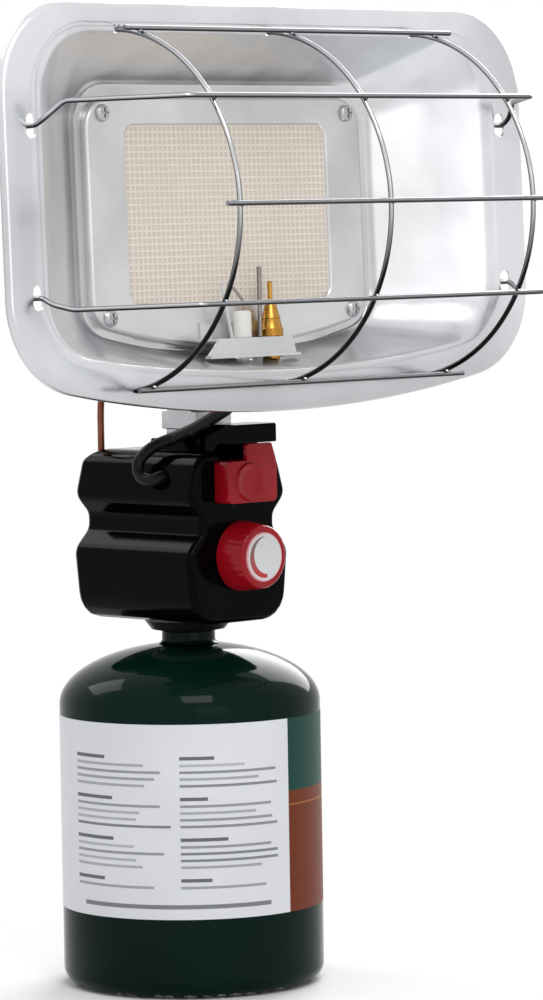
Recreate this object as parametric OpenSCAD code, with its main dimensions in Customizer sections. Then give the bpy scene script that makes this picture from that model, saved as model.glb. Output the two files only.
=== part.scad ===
// Portable propane heater: a radiant burner in a pressed reflector, carried by a valve
// housing that screws onto a disposable gas cylinder.
// Millimetres. Origin at the centre of the cylinder's base, +Z up, the heater faces -Y.

/* [Gas cylinder] */
// Outside diameter of the steel cylinder
cyl_d = 98; // [90:0.5:110]
// Height of the straight side, where the shoulder starts
side_h = 105.5; // [80:0.5:260]
// Rise of the shoulder, the half axis of its ellipse
dome_rise = 22.5; // [18:0.5:30]
// Thickness of the drawn steel
cyl_wall = 1.2; // [0.8:0.1:2]
// Radius of the bottom corner
base_corner = 7; // [4:0.5:9]
// Width of the flat ring that the cylinder stands on
foot_w = 4; // [3:0.5:8]
// Height of the hollow under the base
base_hollow = 6; // [3:0.5:10]
// Diameter of the hole in the shoulder for the neck
neck_hole_d = 16; // [14:0.5:18]

/* [Cylinder neck] */
// Diameter of the plain part of the neck
neck_d = 20; // [18.5:0.5:23]
// Height of the plain neck that shows under the collar
neck_show = 5.3; // [4:0.1:12]
// Outside diameter of the neck's thread
thread_d = 25.4; // [24:0.1:27]
// Length of thread inside the collar
thread_len = 12; // [9:0.5:14]
// Bore of the neck, which holds the check valve
neck_bore = 11; // [9:0.5:12]

/* [Inlet collar and valve body] */
// Outside diameter of the collar
collar_d = 33; // [31:0.5:33.5]
// Height of collar that shows under the housing
collar_show = 3.5; // [2:0.5:8]
// Thickness of the rubber inlet gasket
gasket_t = 1.5; // [1:0.1:2.5]
// Diameter of the valve body above the collar
body_d = 22; // [20:0.5:23]
// Diameter of the regulator at the back of the valve body
regulator_d = 28; // [26:0.5:28.5]
// Depth of the regulator's cover
regulator_cover_t = 12; // [10:0.5:13]
// Diameter of the valve stem
stem_d = 6; // [5:0.5:7]

/* [Housing] */
// Height of the housing
house_h = 64; // [62:0.5:70]
// Distance from the cylinder's axis to the housing's front face
house_front = 28.5; // [27:0.5:32]
// Distance from the cylinder's axis to the housing's back face
house_back = 35.3; // [33:0.5:40]
// Half width at the lower grip
grip_hw = 25.8; // [24.5:0.1:30]
// Half width at the waist
waist_hw = 18.8; // [17.5:0.1:21]
// Thickness of the moulded wall
house_wall = 2; // [1.5:0.1:2.5]
// Radius of the moulded edges
house_edge = 3; // [2:0.5:4]
// Radius of the long edge at the top of the back
back_top_r = 10; // [4:0.5:11]
// Rounding of its bottom edge at the back
back_low_r = 7; // [3:0.5:8]

/* [Control knob] */
// Height of the knob's axis, as a share of the housing's height
knob_share = 0.389; // [0.36:0.001:0.39]
// Diameter at the back of the knob
knob_d = 26.3; // [22:0.1:28]
// Diameter at the front of the knob
knob_front_d = 23.4; // [20:0.1:26]
// Length of the knob
knob_len = 12.2; // [9:0.1:16]
// Diameter of the white dial
dial_d = 18.5; // [14:0.1:19.5]
// Number of grip flutes
flutes = 26; // [16:1:36]

/* [Ignition button] */
// Depth of the button's centre below the housing's top
button_drop = 11.3; // [10.5:0.1:12]
// Width of the button
button_w = 25; // [22:0.5:28]
// Height of the button
button_h = 15.6; // [14:0.1:16.4]
// How far the button stands out of the housing
button_out = 7.3; // [6.5:0.1:10]
// Diameter of the raised thumb pad
pad_d = 15; // [10:0.5:15]

/* [Reflector] */
// Height of the reflector's centre above the housing's underside
reflector_rise = 153.5; // [150:0.5:175]
// Distance of the rim plane in front of the cylinder's axis
reflector_out = 52.2; // [51:0.5:56]
// Backward lean of the reflector in degrees
reflector_tilt = 2; // [0:0.5:4]
// Half width over the rolled rim
rim_hw = 134; // [128:0.5:150]
// Height of the rim's top edge above the centre
rim_top = 74; // [72:0.5:84]
// Depth of the rim's bottom edge below the centre
rim_bottom = 74.3; // [72:0.5:78]
// Radius of the bowed bottom edge
rim_bow = 583; // [400:10:900]
// Radius of the rim's corners
rim_corner = 34; // [28:0.5:40]
// Radius of the rolled edge
bead_r = 2.2; // [1.5:0.1:3]
// Width of the flange at the sides
flange_side = 17; // [13:0.5:22]
// Width of the flange at the top
flange_top = 9; // [7:0.5:12]
// Width of the flange at the bottom
flange_bottom = 15.3; // [12:0.1:17]
// Depth of the bowl
bowl_d = 29; // [26:0.5:29.5]
// Thickness of the sheet
sheet = 0.8; // [0.6:0.1:1.2]

/* [Burner] */
// Half width of the frame round the plaque
frame_hw = 71; // [68:0.5:73]
// Height of the frame's top edge above the centre
frame_top = 42; // [40:0.5:44]
// Depth of the frame's bottom edge below the centre
frame_bottom = 50; // [46:0.5:50.5]
// Width of the frame beside its window
frame_side = 19.3; // [18:0.1:25]
// Height of the window's top edge above the centre
window_top = 31.8; // [28:0.1:33]
// Depth of the window's bottom edge below the centre
window_bottom = 33.5; // [30:0.1:35]
// Thickness of the ceramic plaque
plaque_t = 12; // [10:0.5:13]
// How far the plaque reaches past the window all round
plaque_lap = 3.3; // [2:0.1:3.5]
// Depth of the mixing chamber behind the plaque
chamber_d = 18.5; // [18:0.5:24]

/* [Neck] */
// Distance of the mixing tube in front of the cylinder's axis
tube_out = 6.3; // [5:0.1:7]
// Diameter of the mixing tube at its base
tube_base_d = 15; // [13:0.5:15]
// Diameter of the mixing tube at its throat
tube_d = 13; // [10:0.5:13]
// Half width of the square bracket that carries the burner
bracket_hw = 9.2; // [9.1:0.1:10]
// Height of the bracket's skirt above the housing
bracket_rise = 7.8; // [7:0.1:12]
// Depth of the bracket's skirt
bracket_skirt = 6.5; // [4:0.5:8]

/* [Wire guard] */
// Diameter of the guard wire
wire_d = 1.9; // [1.5:0.1:2.5]
// Distance of the outer hoops from the middle one
hoop_pitch = 76; // [60:1:90]
// Height of the hoops' feet above and below the centre
hoop_foot = 64; // [62:0.5:66]
// How far the hoops stand out of the rim
hoop_out = 56; // [40:1:60]
// Height of the upper side wire
upper_wire = 38; // [30:0.5:44]
// Depth of the lower side wire below the centre
lower_wire = 34.5; // [28:0.5:42]
// Half length of the straight rods
rod_hw = 84; // [80:1:96]
// Half length of the side wires' straight run
run_hw = 88; // [82:1:94]

/* [Fits] */
// Clearance between pieces that are put together
clear = 0.3; // [0.2:0.05:0.5]
// Radial clearance of a running fit
run_fit = 0.05; // [0.02:0.01:0.1]
// Gap at a welded or seated face
seat = 0.05; // [0.02:0.01:0.1]

/* [Hidden] */
$fn = 64;
eps = 0.01;

// Cylinder and neck heights
cyl_r = cyl_d / 2;
neck_hole_r = neck_hole_d / 2;
function dome_z(r) = side_h + dome_rise * sqrt(1 - pow(r / cyl_r, 2));
neck_z = dome_z(neck_hole_r) + seat;
collar_z = neck_z + neck_show;
neck_top = collar_z + thread_len;
inlet_z = neck_top + gasket_t;
collar_top = inlet_z + 3.5;

// Housing, knob and button
house_z = collar_z + collar_show;
house_top = house_z + house_h;
knob_z = house_z + house_h * knob_share;
button_z = house_top - button_drop;
button_face = -house_front - button_out;
screw_spots = [[19.5, 12.5], [14.6, house_h - 23]];
screw_sink = 5;
screw_r = 1.2;
screw_head_r = 2.6;
screw_head_h = 2;
regulator_y = collar_d / 2 + 1;
diaphragm_d = regulator_d - 6;
cover_wall = 2;
gland_d = 13;
pad_x = -2;

// Valve parts behind the button
safety_x = pad_x;
safety_z = button_z - 2.8;
block_front = -16;
block_back = 8;
plunger_d = 4;
striker_x = 8;
striker_z = button_z + 4.2;
striker_d = 3.6;
piezo_w = 8;
piezo_h = 7.2;
piezo_front = -14;
piezo_back = 14;
magnet_d = 13;
magnet_back = 22;
jet_seat_z = house_top - 1.3;

// Reflector: each shape is half width, top, bottom, bow radius, corner radius
rim_shape = [rim_hw, rim_top, rim_bottom, rim_bow, rim_corner];
bead_shape = rim_shape - bead_r * [1, 1, 1, 1, 1];
mouth_shape = [rim_hw - flange_side, rim_top - flange_top, rim_bottom - flange_bottom,
    rim_bow + 100, rim_corner - 10];
pan_shape = [frame_hw + 5, frame_top + 5, frame_bottom + 2.5, 270, 16];
frame_bow = 253;
frame_corner = 12;
window_hw = frame_hw - frame_side;
plaque_hw = window_hw + plaque_lap;
plaque_top = window_top + plaque_lap;
plaque_bottom = window_bottom + plaque_lap;
gasket_w = 2.7;
open_hw = plaque_hw + gasket_w + clear;
open_top = plaque_top + gasket_w + clear;
open_bottom = plaque_bottom + gasket_w + clear;
opening_shape = [open_hw, open_top, open_bottom, 2000, 5];
shapes = [bead_shape, mouth_shape, pan_shape, opening_shape];
pan_w = -bowl_d;
frame_lift = 3;
frame_w = pan_w + frame_lift;
plaque_w = frame_w - sheet - 0.2;
ledge_w = plaque_w - plaque_t - clear;
chamber_wall = 1;
chamber_w = ledge_w - chamber_wall - chamber_d;
screw_hw = frame_hw - 8;
screw_top = frame_top - 6;
screw_bottom = frame_bottom - 12;
pilot_w = pan_w + 8.9;
pilot_x = 13;
spark_x = -2;
shelf_v = -frame_bottom + 3;
pilot_r = 3;
insulator_r = 2.25;
insulator_head_r = 3.4;
pilot_drop = 10;

// Guard: a hoop is an arc whose centre lies behind the rim plane
hoop_r = (hoop_foot * hoop_foot + hoop_out * hoop_out) / (2 * hoop_out);
hoop_w = hoop_out - hoop_r;
wire_r = wire_d / 2;
rod_r = hoop_r + wire_d + seat;
hook_len = 3.8;
hook_w = -sheet - 2.4;
slot_u = rim_hw - 13;
slot_v = 30;
foot_rod_w = 10;
foot_rod = sqrt(rod_r * rod_r - pow(foot_rod_w - hoop_w, 2));

// Underside of the mixing chamber, and the bracket's tabs that carry it
chamber_low = house_z + reflector_rise - (plaque_bottom - 0.8) * cos(reflector_tilt)
    - (reflector_out - tube_out) * sin(reflector_tilt);
tab_z = chamber_low - 0.5;
tab_w = 12;
tab_x = bracket_hw + 6;
tab_t = 1.2;
foot_gap = 5.5;

// Underside of the pilot fitting and the insulator
pilot_foot_y = -reflector_out + (shelf_v - pilot_drop) * sin(reflector_tilt)
    - pilot_w * cos(reflector_tilt);
pilot_foot_z = house_z + reflector_rise + (shelf_v - pilot_drop) * cos(reflector_tilt)
    + pilot_w * sin(reflector_tilt);

// Routes of the two leads, chosen by hand: first from the housing's top, then from the pilot
cable_d = 4.6;
lead_d = 2.6;
cable_route = concat(raised(house_top, [[8, 14.2, -7.1], [8, 19, -7.1], [5, 25, -7.5],
        [-6, 27, -8.5], [-14, 24, -10], [-17.5, 15, -10.5], [-17.5, 2, -10.5],
        [-17.5, -9, -9.5], [-20, -11.5, -9], [-24, -11.5, -9], [-26.5, -9.5, -10.5],
        [-27, -5, -10], [-27, -2.4, -7], [-26.5, -2.4, -3], [-23.5, -5, 1], [-19, -7, 3.3],
        [-15.5, -12, 5.5], [-14.5, -23, 9.5], [-14, -30, 13]]),
    raised(pilot_foot_z, [[-13, pilot_foot_y - 2.9, -15.4], [-10, pilot_foot_y - 5.9, -10.4],
        [-5, pilot_foot_y - 4.4, -7.4], [spark_x, pilot_foot_y - 1.4, -4.4],
        [spark_x, pilot_foot_y, -1.1]]));
cable_exit = cable_route[8];
lead_route = concat(raised(house_top, [[-2, 24.4, -14.1], [-2, 28, -14.1], [-7, 30.2, -13],
        [-13, 30.2, -10], [-15, 30, -4.5], [-15, 30, 5.5]]),
    raised(pilot_foot_z, [[-15, 30, -16.4], [-15.5, 28, -7.4], [-16.5, 18, -3.4],
        [-17, 4, -3.4], [-17, -8, -3.4], [-14, -18, -4.4], [-4, -24, -5.4], [7, -28, -6.4],
        [pilot_x, pilot_foot_y + 1.1, -5.4], [pilot_x, pilot_foot_y, -0.4]]));

black = [0.07, 0.07, 0.08];
steel = [0.78, 0.79, 0.8];
brass = [0.75, 0.58, 0.25];
rubber = [0.1, 0.1, 0.1];
red = [0.72, 0.08, 0.13];
guard_grey = [0.55, 0.56, 0.57];
screw_grey = [0.6, 0.6, 0.6];

// ---- Shared geometry ----

function unit(v) = v / norm(v);
function mix(a, b, t) = a * (1 - t) + b * t;
function raised(z, points) = [for (p = points) p + [0, 0, z]];
function bend(a, b, c, t) = mix(mix(a, b, t), mix(b, c, t), t);

// Points of an arc about c, from angle a0 to a1
function arc(c, r, a0, a1, n) = [for (i = [0:n]) let (a = a0 + (a1 - a0) * i / n)
    c + r * [cos(a), sin(a)]];

// A corner b between a and c, rounded by radius r
function corner(a, b, c, r, n = 5) = let (
    u = unit(a - b), v = unit(c - b), half = acos(u * v) / 2,
    middle = b + unit(u + v) * r / sin(half),
    first = b + u * r / tan(half) - middle, last = b + v * r / tan(half) - middle)
    [for (i = [0:n]) middle + r * unit(mix(first, last, i / n))];

// Closed outline of [x, y, corner radius] points
function rounded(pts) = let (n = len(pts)) [for (i = [0:n - 1]) let (
    a = pts[(i + n - 1) % n], b = pts[i], c = pts[(i + 1) % n])
    each corner([a.x, a.y], [b.x, b.y], [c.x, c.y], b.z)];

// Rounded rectangle with a bowed bottom edge, all as one closed outline
function bowed(s, n = 7) = let (
    hw = s[0], top = s[1], bottom = s[2], bow = s[3], r = s[4],
    reach = sqrt(pow(bow - r, 2) - pow(hw - r, 2)),
    low = -bottom + bow - reach, turn = atan2(hw - r, reach))
    concat(arc([hw - r, top - r], r, 0, 90, n),
        arc([r - hw, top - r], r, 90, 180, n),
        arc([r - hw, low], r, 180, 270 - turn, n),
        [for (i = [1:n - 1]) let (a = 270 - turn + 2 * turn * i / n)
            [bow * cos(a), bow - bottom + bow * sin(a)]],
        arc([hw - r, low], r, 270 + turn, 360, n));

// Smooth curve that starts and ends on the route's ends and follows its points
function smooth(p, n = 4) = let (m = len(p) - 1) concat([p[0]],
    [for (i = [1:m - 1], k = [0:n - 1]) let (
        a = i == 1 ? p[0] : (p[i - 1] + p[i]) / 2,
        c = i == m - 1 ? p[m] : (p[i] + p[i + 1]) / 2)
        bend(a, p[i], c, (k + 1) / n)]);

// Path whose corners are rounded over a distance d
function eased(p, d, n = 4) = let (m = len(p) - 1) concat([p[0]],
    [for (i = [1:m - 1], k = [0:n]) bend(p[i] + d * unit(p[i - 1] - p[i]), p[i],
        p[i] + d * unit(p[i + 1] - p[i]), k / n)], [p[m]]);

function heading(p, i) = unit(p[min(i + 1, len(p) - 1)] - p[max(i - 1, 0)]);
function sideways(s, t) = unit(s - (s * t) * t);
function side_list(p, i, found) = i == len(p) ? found
    : side_list(p, i + 1, concat(found, [sideways(found[i - 1], heading(p, i))]));

// Round bar of radius r swept along the points p
module bar(p, r, sides = 8) {
    start = heading(p, 0);
    first = sideways(abs(start.x) > 0.9 ? [0, 1, 0] : [1, 0, 0], start);
    s = side_list(p, 1, [first]);
    points = [for (i = [0:len(p) - 1], k = [0:sides - 1]) let (a = 360 * k / sides)
        p[i] + r * (cos(a) * s[i] + sin(a) * cross(heading(p, i), s[i]))];
    walls = [for (i = [0:len(p) - 2], k = [0:sides - 1]) let (
        a = i * sides + k, b = i * sides + (k + 1) % sides)
        each [[a, a + sides, b + sides], [a, b + sides, b]]];
    ends = [[for (k = [0:sides - 1]) k],
        [for (k = [sides - 1:-1:0]) (len(p) - 1) * sides + k]];
    polyhedron(points, concat(walls, ends));
}

// Coil spring along +Z
module coil(r, wire, length, turns) {
    steps = 10;
    bar([for (i = [0:turns * steps]) let (a = 360 * i / steps)
        [r * cos(a), r * sin(a), wire + (length - 2 * wire) * i / (turns * steps)]],
        wire, 6);
}

// Axis pointing to -Y, out of the front of the heater
module facing_front(x, y, z) {
    translate([x, y, z])
        rotate([90, 0, 0])
            children();
}

// Reflector's own frame: x across, y up its face, z out of it
module on_reflector() {
    translate([0, -reflector_out, house_z + reflector_rise])
        rotate([90 - reflector_tilt, 0, 0])
            children();
}

// Slab of a 2-D shape between two depths of the reflector's frame
module slab(w0, w1) {
    translate([0, 0, w0])
        linear_extrude(w1 - w0)
            children();
}

module rounded_box(hw, top, bottom, r) {
    polygon(rounded([[-hw, -bottom, r], [hw, -bottom, r], [hw, top, r], [-hw, top, r]]));
}

module frame_screw_spots() {
    for (u = [-screw_hw, screw_hw], v = [-screw_bottom, screw_top])
        translate([u, v, 0])
            children();
}

// ---- Gas cylinder ----

function cylinder_profile(inset, foot_z) = let (
    r = cyl_r - inset, corner_r = base_corner - inset, rise = dome_rise - inset,
    foot_in = cyl_r - base_corner - foot_w)
    concat([[0, base_hollow + inset]],
        [for (i = [1:5]) [foot_in * sin(15 * i), foot_z + base_hollow * cos(15 * i)]],
        [[foot_in, foot_z]],
        arc([cyl_r - base_corner, base_corner], corner_r, 270, 360, 6),
        [for (i = [0:18]) let (a = i * 4.5) [r * cos(a), side_h + rise * sin(a)]]);

module gas_cylinder() {
    color([0.05, 0.23, 0.2])
        difference() {
            rotate_extrude($fn = 128)
                polygon(concat(cylinder_profile(0, 0), [[0, dome_z(cyl_r * cos(81))]]));
            rotate_extrude($fn = 128)
                polygon(concat(cylinder_profile(cyl_wall, cyl_wall),
                    [[0, dome_z(cyl_r * cos(81)) - cyl_wall]]));
            translate([0, 0, side_h])
                cylinder(r = neck_hole_r, h = dome_rise * 2);
        }
}

module cylinder_neck() {
    skirt_r = neck_hole_r - seat;
    chamfer = 0.8;
    color([0.62, 0.62, 0.6])
        rotate_extrude()
            polygon([[neck_bore / 2, neck_z - 4], [skirt_r, neck_z - 4], [skirt_r, neck_z],
                [neck_d / 2, neck_z], [neck_d / 2, collar_z - 1], [thread_d / 2, collar_z],
                [thread_d / 2, neck_top - chamfer], [thread_d / 2 - chamfer, neck_top],
                [neck_bore / 2, neck_top]]);
}

module check_valve() {
    r = neck_bore / 2 - seat;
    pin_r = 1.4;
    color(brass)
        rotate_extrude()
            polygon([[0, neck_z - 2], [r, neck_z - 2], [r, neck_top - 3], [pin_r, neck_top - 3],
                [pin_r, neck_top - 0.8], [0, neck_top - 0.8]]);
}

module inlet_gasket() {
    color(rubber)
        translate([0, 0, neck_top + seat])
            difference() {
                cylinder(d = thread_d - 2, h = gasket_t - 2 * seat);
                translate([0, 0, -1])
                    cylinder(d = neck_bore + 1, h = gasket_t + 2);
            }
}

// ---- Valve body and regulator ----

module valve_body() {
    block_hw = 9;
    column_r = 3.6;
    passage_d = 3;
    port_d = 5;
    flange_t = 3;
    collar_low_d = thread_d + 2.2;
    jet_pad = 1.4;
    column_top = safety_z - magnet_d / 2 - clear;
    block_top = striker_z - piezo_h / 2 - clear;
    color([0.66, 0.67, 0.68])
        difference() {
            union() {
                rotate_extrude()
                    polygon([[0, collar_z], [collar_low_d / 2, collar_z], [collar_d / 2, house_z],
                        [collar_d / 2, collar_top], [0, collar_top]]);
                translate([0, 0, collar_top - eps])
                    cylinder(d = body_d, h = column_top - collar_top);
                facing_front(0, regulator_y - 1, knob_z)
                    cylinder(d = diaphragm_d, h = regulator_y - 4);
                facing_front(0, regulator_y, knob_z)
                    cylinder(d = regulator_d, h = flange_t);
                facing_front(0, 0, knob_z)
                    cylinder(d = gland_d, h = body_d / 2 + 1);
                translate([safety_x - block_hw, block_front, column_top - 1])
                    cube([2 * block_hw, block_back - block_front, block_top - column_top + 1]);
                translate([0, -tube_out, safety_z])
                    cylinder(r = column_r, h = jet_seat_z - safety_z);
                translate([0, -tube_out, jet_seat_z - jet_pad])
                    cylinder(d = tube_base_d, h = jet_pad);
            }
            translate([0, 0, collar_z - 1])
                cylinder(r = thread_d / 2 + run_fit, h = inlet_z - collar_z + 1);
            translate([0, 0, inlet_z - 1])
                cylinder(d = passage_d, h = knob_z - inlet_z);
            facing_front(0, 0, knob_z)
                cylinder(r = stem_d / 2 + run_fit, h = body_d);
            facing_front(0, regulator_y + 1, knob_z)
                cylinder(d = passage_d, h = body_d);
            facing_front(safety_x, -1, safety_z)
                cylinder(r = plunger_d / 2 + run_fit, h = -block_front);
            facing_front(safety_x, block_back + 1, safety_z)
                cylinder(d = port_d, h = port_d + 1);
            translate([0, -tube_out, safety_z + 1])
                cylinder(d = port_d, h = jet_seat_z - safety_z);
        }
}

module regulator_diaphragm() {
    t = 0.9;
    color(rubber)
        facing_front(0, regulator_y + seat + t, knob_z)
            cylinder(d = diaphragm_d - 2 * seat, h = t - seat);
}

module regulator_spring() {
    coil_r = 4.5;
    wire = 0.6;
    color(screw_grey)
        translate([0, regulator_y + 1 + 2 * seat, knob_z])
            rotate([-90, 0, 0])
                coil(coil_r, wire, regulator_cover_t - cover_wall - 1.4, 4);
}

module regulator_cover() {
    y = regulator_y + seat;
    rim_t = 3;
    rim_r = regulator_d / 2;
    color([0.7, 0.71, 0.72])
        difference() {
            translate([0, y, knob_z])
                rotate([-90, 0, 0])
                    rotate_extrude()
                        polygon([[0, 0], [rim_r, 0], [rim_r, rim_t], [rim_r - 4, rim_t + 1],
                            [rim_r - 6, regulator_cover_t], [0, regulator_cover_t]]);
            facing_front(0, y + 1, knob_z)
                cylinder(d = diaphragm_d, h = 2);
            facing_front(0, y + regulator_cover_t - cover_wall, knob_z)
                cylinder(d = 12, h = regulator_cover_t);
        }
}

module gland_nut() {
    color(brass)
        difference() {
            facing_front(0, -body_d / 2 - 1 - seat, knob_z)
                cylinder(d = gland_d, h = 5, $fn = 6);
            facing_front(0, 0, knob_z)
                cylinder(r = stem_d / 2 + clear, h = body_d);
        }
}

module valve_stem() {
    tip = 2.5;
    color(brass)
        facing_front(0, -tip, knob_z) {
            cylinder(d = stem_d, h = house_front + knob_len - tip - 3);
            translate([0, 0, -tip + 0.5])
                cylinder(d1 = 1, d2 = stem_d - 1, h = tip - 0.5);
        }
}

// ---- Control knob ----

module control_knob() {
    color(red)
        difference() {
            facing_front(0, -house_front - clear, knob_z)
                cylinder(d1 = knob_d, d2 = knob_front_d, h = knob_len);
            facing_front(0, -house_front, knob_z)
                for (i = [0:flutes - 1])
                    rotate([0, 0, 360 * (i + 0.5) / flutes])
                        translate([knob_d / 2 + 0.25, 0, 2.2])
                            rotate([0, -atan((knob_d - knob_front_d) / 2 / knob_len), 0])
                                cylinder(r = 0.9, h = knob_len + 2, $fn = 16);
            facing_front(0, -house_front - clear - knob_len + 1, knob_z)
                cylinder(r = dial_d / 2 + seat, h = 2);
            facing_front(0, 0, knob_z)
                cylinder(r = stem_d / 2 + seat, h = house_front + knob_len - 2.9);
            facing_front(0, -house_front + 1, knob_z)
                cylinder(d = 15, h = 4);
        }
}

module knob_dial() {
    color([0.93, 0.92, 0.9])
        facing_front(0, -house_front - clear - knob_len + 1 - seat, knob_z)
            cylinder(d1 = dial_d, d2 = dial_d - 0.8, h = 1.2);
}

// ---- Moulded housing ----

// Half outline from the bottom up: [x, height, corner radius]
function house_half() = [[grip_hw - 2.4, 0, 11], [grip_hw + 0.4, 26.7, 6.5], [waist_hw, 34.2, 5],
    [waist_hw, 39.6, 5], [grip_hw - 0.5, 46.6, 5.5], [grip_hw - 5.6, house_h, 8.5]];

module house_outline() {
    half = house_half();
    n = len(half);
    polygon(rounded(concat(half,
        [for (i = [n - 1:-1:0]) [-half[i].x, half[i].y, half[i].z]])));
}

// Side view: the back's long edges are rounder than the rest
module house_side(inset) {
    translate([-100, 0, house_z])
        rotate([90, 0, 90])
            linear_extrude(200)
                offset(delta = -inset)
                    polygon(rounded([[-60, 0, 1], [house_back, 0, back_low_r],
                        [house_back, house_h, back_top_r], [-60, house_h, 1]]));
}

module house_shell() {
    depth = house_front + house_back;
    difference() {
        intersection() {
            facing_front(0, house_back - house_edge, house_z)
                minkowski() {
                    linear_extrude(depth - 2 * house_edge)
                        offset(delta = -house_edge)
                            house_outline();
                    sphere(r = house_edge, $fn = 16);
                }
            house_side(0);
        }
        intersection() {
            facing_front(0, house_back - house_wall, house_z)
                linear_extrude(depth - 2 * house_wall)
                    offset(delta = -house_wall)
                        house_outline();
            house_side(house_wall);
        }
    }
}

module house_posts(y, length, r) {
    for (s = [-1, 1], p = screw_spots)
        facing_front(s * p.x, y, house_z + p.y)
            cylinder(r = r, h = length);
}

// Half space in front of (-1) or behind (1) the parting plane
module house_half_space(s) {
    translate([-60, s > 0 ? seat : -120 - seat, house_z - 10])
        cube([120, 120, house_h + 20]);
}

module housing_front() {
    pocket_hw = button_w / 2 + clear;
    pocket_hh = button_h / 2 + clear;
    color(black)
        difference() {
            intersection() {
                union() {
                    house_shell();
                    house_posts(0, house_front - 1, screw_head_r + 0.2);
                }
                house_half_space(-1);
            }
            translate([0, 0, house_z - 1])
                cylinder(r = collar_d / 2 + clear, h = collar_top - house_z + 2);
            translate([0, -tube_out, house_top - 4])
                cylinder(r = tube_base_d / 2 + clear, h = 6);
            facing_front(0, -house_front + 5, knob_z)
                cylinder(r = stem_d / 2 + 1, h = 6);
            translate([-pocket_hw, -house_front - 1, button_z - pocket_hh])
                cube([2 * pocket_hw, house_wall + 2, 2 * pocket_hh]);
            house_posts(1, 12, screw_r + seat);
            translate([-grip_hw - 1, cable_exit.y, cable_exit.z])
                rotate([0, 90, 0])
                    cylinder(d = cable_d + 2 * clear, h = 10);
        }
}

module housing_rear() {
    color(black)
        difference() {
            intersection() {
                union() {
                    house_shell();
                    house_posts(house_back - 1, house_back, screw_head_r + 1);
                }
                house_half_space(1);
            }
            translate([0, 0, house_z - 1])
                cylinder(r = collar_d / 2 + clear, h = collar_top - house_z + 2);
            translate([0, -tube_out, house_top - 4])
                cylinder(r = tube_base_d / 2 + clear, h = 6);
            house_posts(house_back + 1, house_back + 2, screw_r + 0.4);
            house_posts(house_back + 1, screw_sink + 1, screw_head_r + 0.2);
            translate([-15, 30, house_top - 10])
                cylinder(d = lead_d + 4 * clear, h = 20);
        }
}

module housing_screws() {
    head_y = house_back - screw_sink + seat;
    color(screw_grey)
        for (s = [-1, 1], p = screw_spots) {
            facing_front(s * p.x, head_y + screw_head_h, house_z + p.y)
                cylinder(r = screw_head_r, h = screw_head_h);
            facing_front(s * p.x, head_y + 1, house_z + p.y)
                cylinder(r = screw_r, h = head_y + 10);
        }
}

module button_hood() {
    z = house_top + seat;
    lip = 3;
    block_h = 10;
    block_hw = 10.5;
    block_front_y = button_face - 1.9;
    plate_hw = 12;
    color(black)
        difference() {
            union() {
                translate([-block_hw, 0, z])
                    rotate([90, 0, 90])
                        linear_extrude(2 * block_hw)
                            polygon(rounded([[block_front_y, lip, 0.6], [-house_front, lip, 0.4],
                                [-house_front + 3, 0, 0.6], [-14, 0, 0.6], [-14, foot_gap, 1],
                                [-24, block_h, 3], [block_front_y, block_h, 1]]));
                translate([-plate_hw, 0, z])
                    rotate([90, 0, 90])
                        linear_extrude(2 * plate_hw)
                            polygon(rounded([[-20, 0, 0.5], [6, 0, 0.5], [6, 4.2, 1],
                                [-20, foot_gap, 1]]));
            }
            translate([0, -tube_out, z - 1])
                cylinder(r = tube_base_d / 2 + clear, h = 20);
        }
}

// ---- Ignition button and what it works ----

module ignition_button() {
    wall = 1.6;
    skirt_back = -house_front + 6;
    hw = button_w / 2;
    hh = button_h / 2;
    tongue_top = house_top + 3 - clear - button_z;
    floor_y = button_face + wall + 1;
    color(red)
        difference() {
            union() {
                facing_front(0, skirt_back, button_z)
                    linear_extrude(skirt_back - button_face)
                        polygon(rounded([[-hw, -hh, 2], [hw, -hh, 2], [hw, hh, 2], [-hw, hh, 2]]));
                facing_front(0, button_face + 2, button_z)
                    linear_extrude(2)
                        polygon(rounded([[-3, hh - 4, 0.5], [hw - 0.4, hh - 4, 0.5],
                            [hw - 0.4, hh, 1], [hw - 2.6, tongue_top, 1], [-3, tongue_top, 1]]));
                facing_front(pad_x, button_face + 1, button_z)
                    cylinder(d1 = pad_d, d2 = pad_d - 1.5, h = 1.9);
            }
            difference() {
                facing_front(0, skirt_back + 1, button_z)
                    linear_extrude(skirt_back + 1 - floor_y)
                        polygon(rounded([[wall - hw, wall - hh, 1], [hw - wall, wall - hh, 1],
                            [hw - wall, hh - wall, 1], [wall - hw, hh - wall, 1]]));
                facing_front(striker_x, skirt_back, striker_z)
                    cylinder(d = 5, h = skirt_back - floor_y + 1);
                facing_front(safety_x, floor_y + 4, safety_z)
                    cylinder(r = plunger_d / 2 + 1.2, h = 5);
            }
            facing_front(safety_x, 0, safety_z)
                cylinder(r = plunger_d / 2 + seat, h = -floor_y);
        }
}

module button_plunger() {
    start = button_face + 2.6 + seat;
    color([0.75, 0.75, 0.76])
        facing_front(safety_x, -8, safety_z)
            cylinder(d = plunger_d, h = -start - 8);
}

module button_spring() {
    far = button_face + 7 + clear;
    color([0.65, 0.65, 0.66])
        translate([safety_x, far, safety_z])
            rotate([-90, 0, 0])
                coil(2.7, 0.4, block_front - clear - far, 5);
}

module piezo_igniter() {
    color([0.15, 0.15, 0.16])
        difference() {
            translate([striker_x - piezo_w / 2, piezo_front, striker_z - piezo_h / 2])
                cube([piezo_w, piezo_back - piezo_front, piezo_h]);
            facing_front(striker_x, -2, striker_z)
                cylinder(r = striker_d / 2 + run_fit, h = 20);
        }
}

module piezo_striker() {
    tip = -house_front + 6 + seat;
    color([0.85, 0.85, 0.82])
        facing_front(striker_x, -9, striker_z)
            cylinder(d = striker_d, h = -tip - 9);
}

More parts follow.
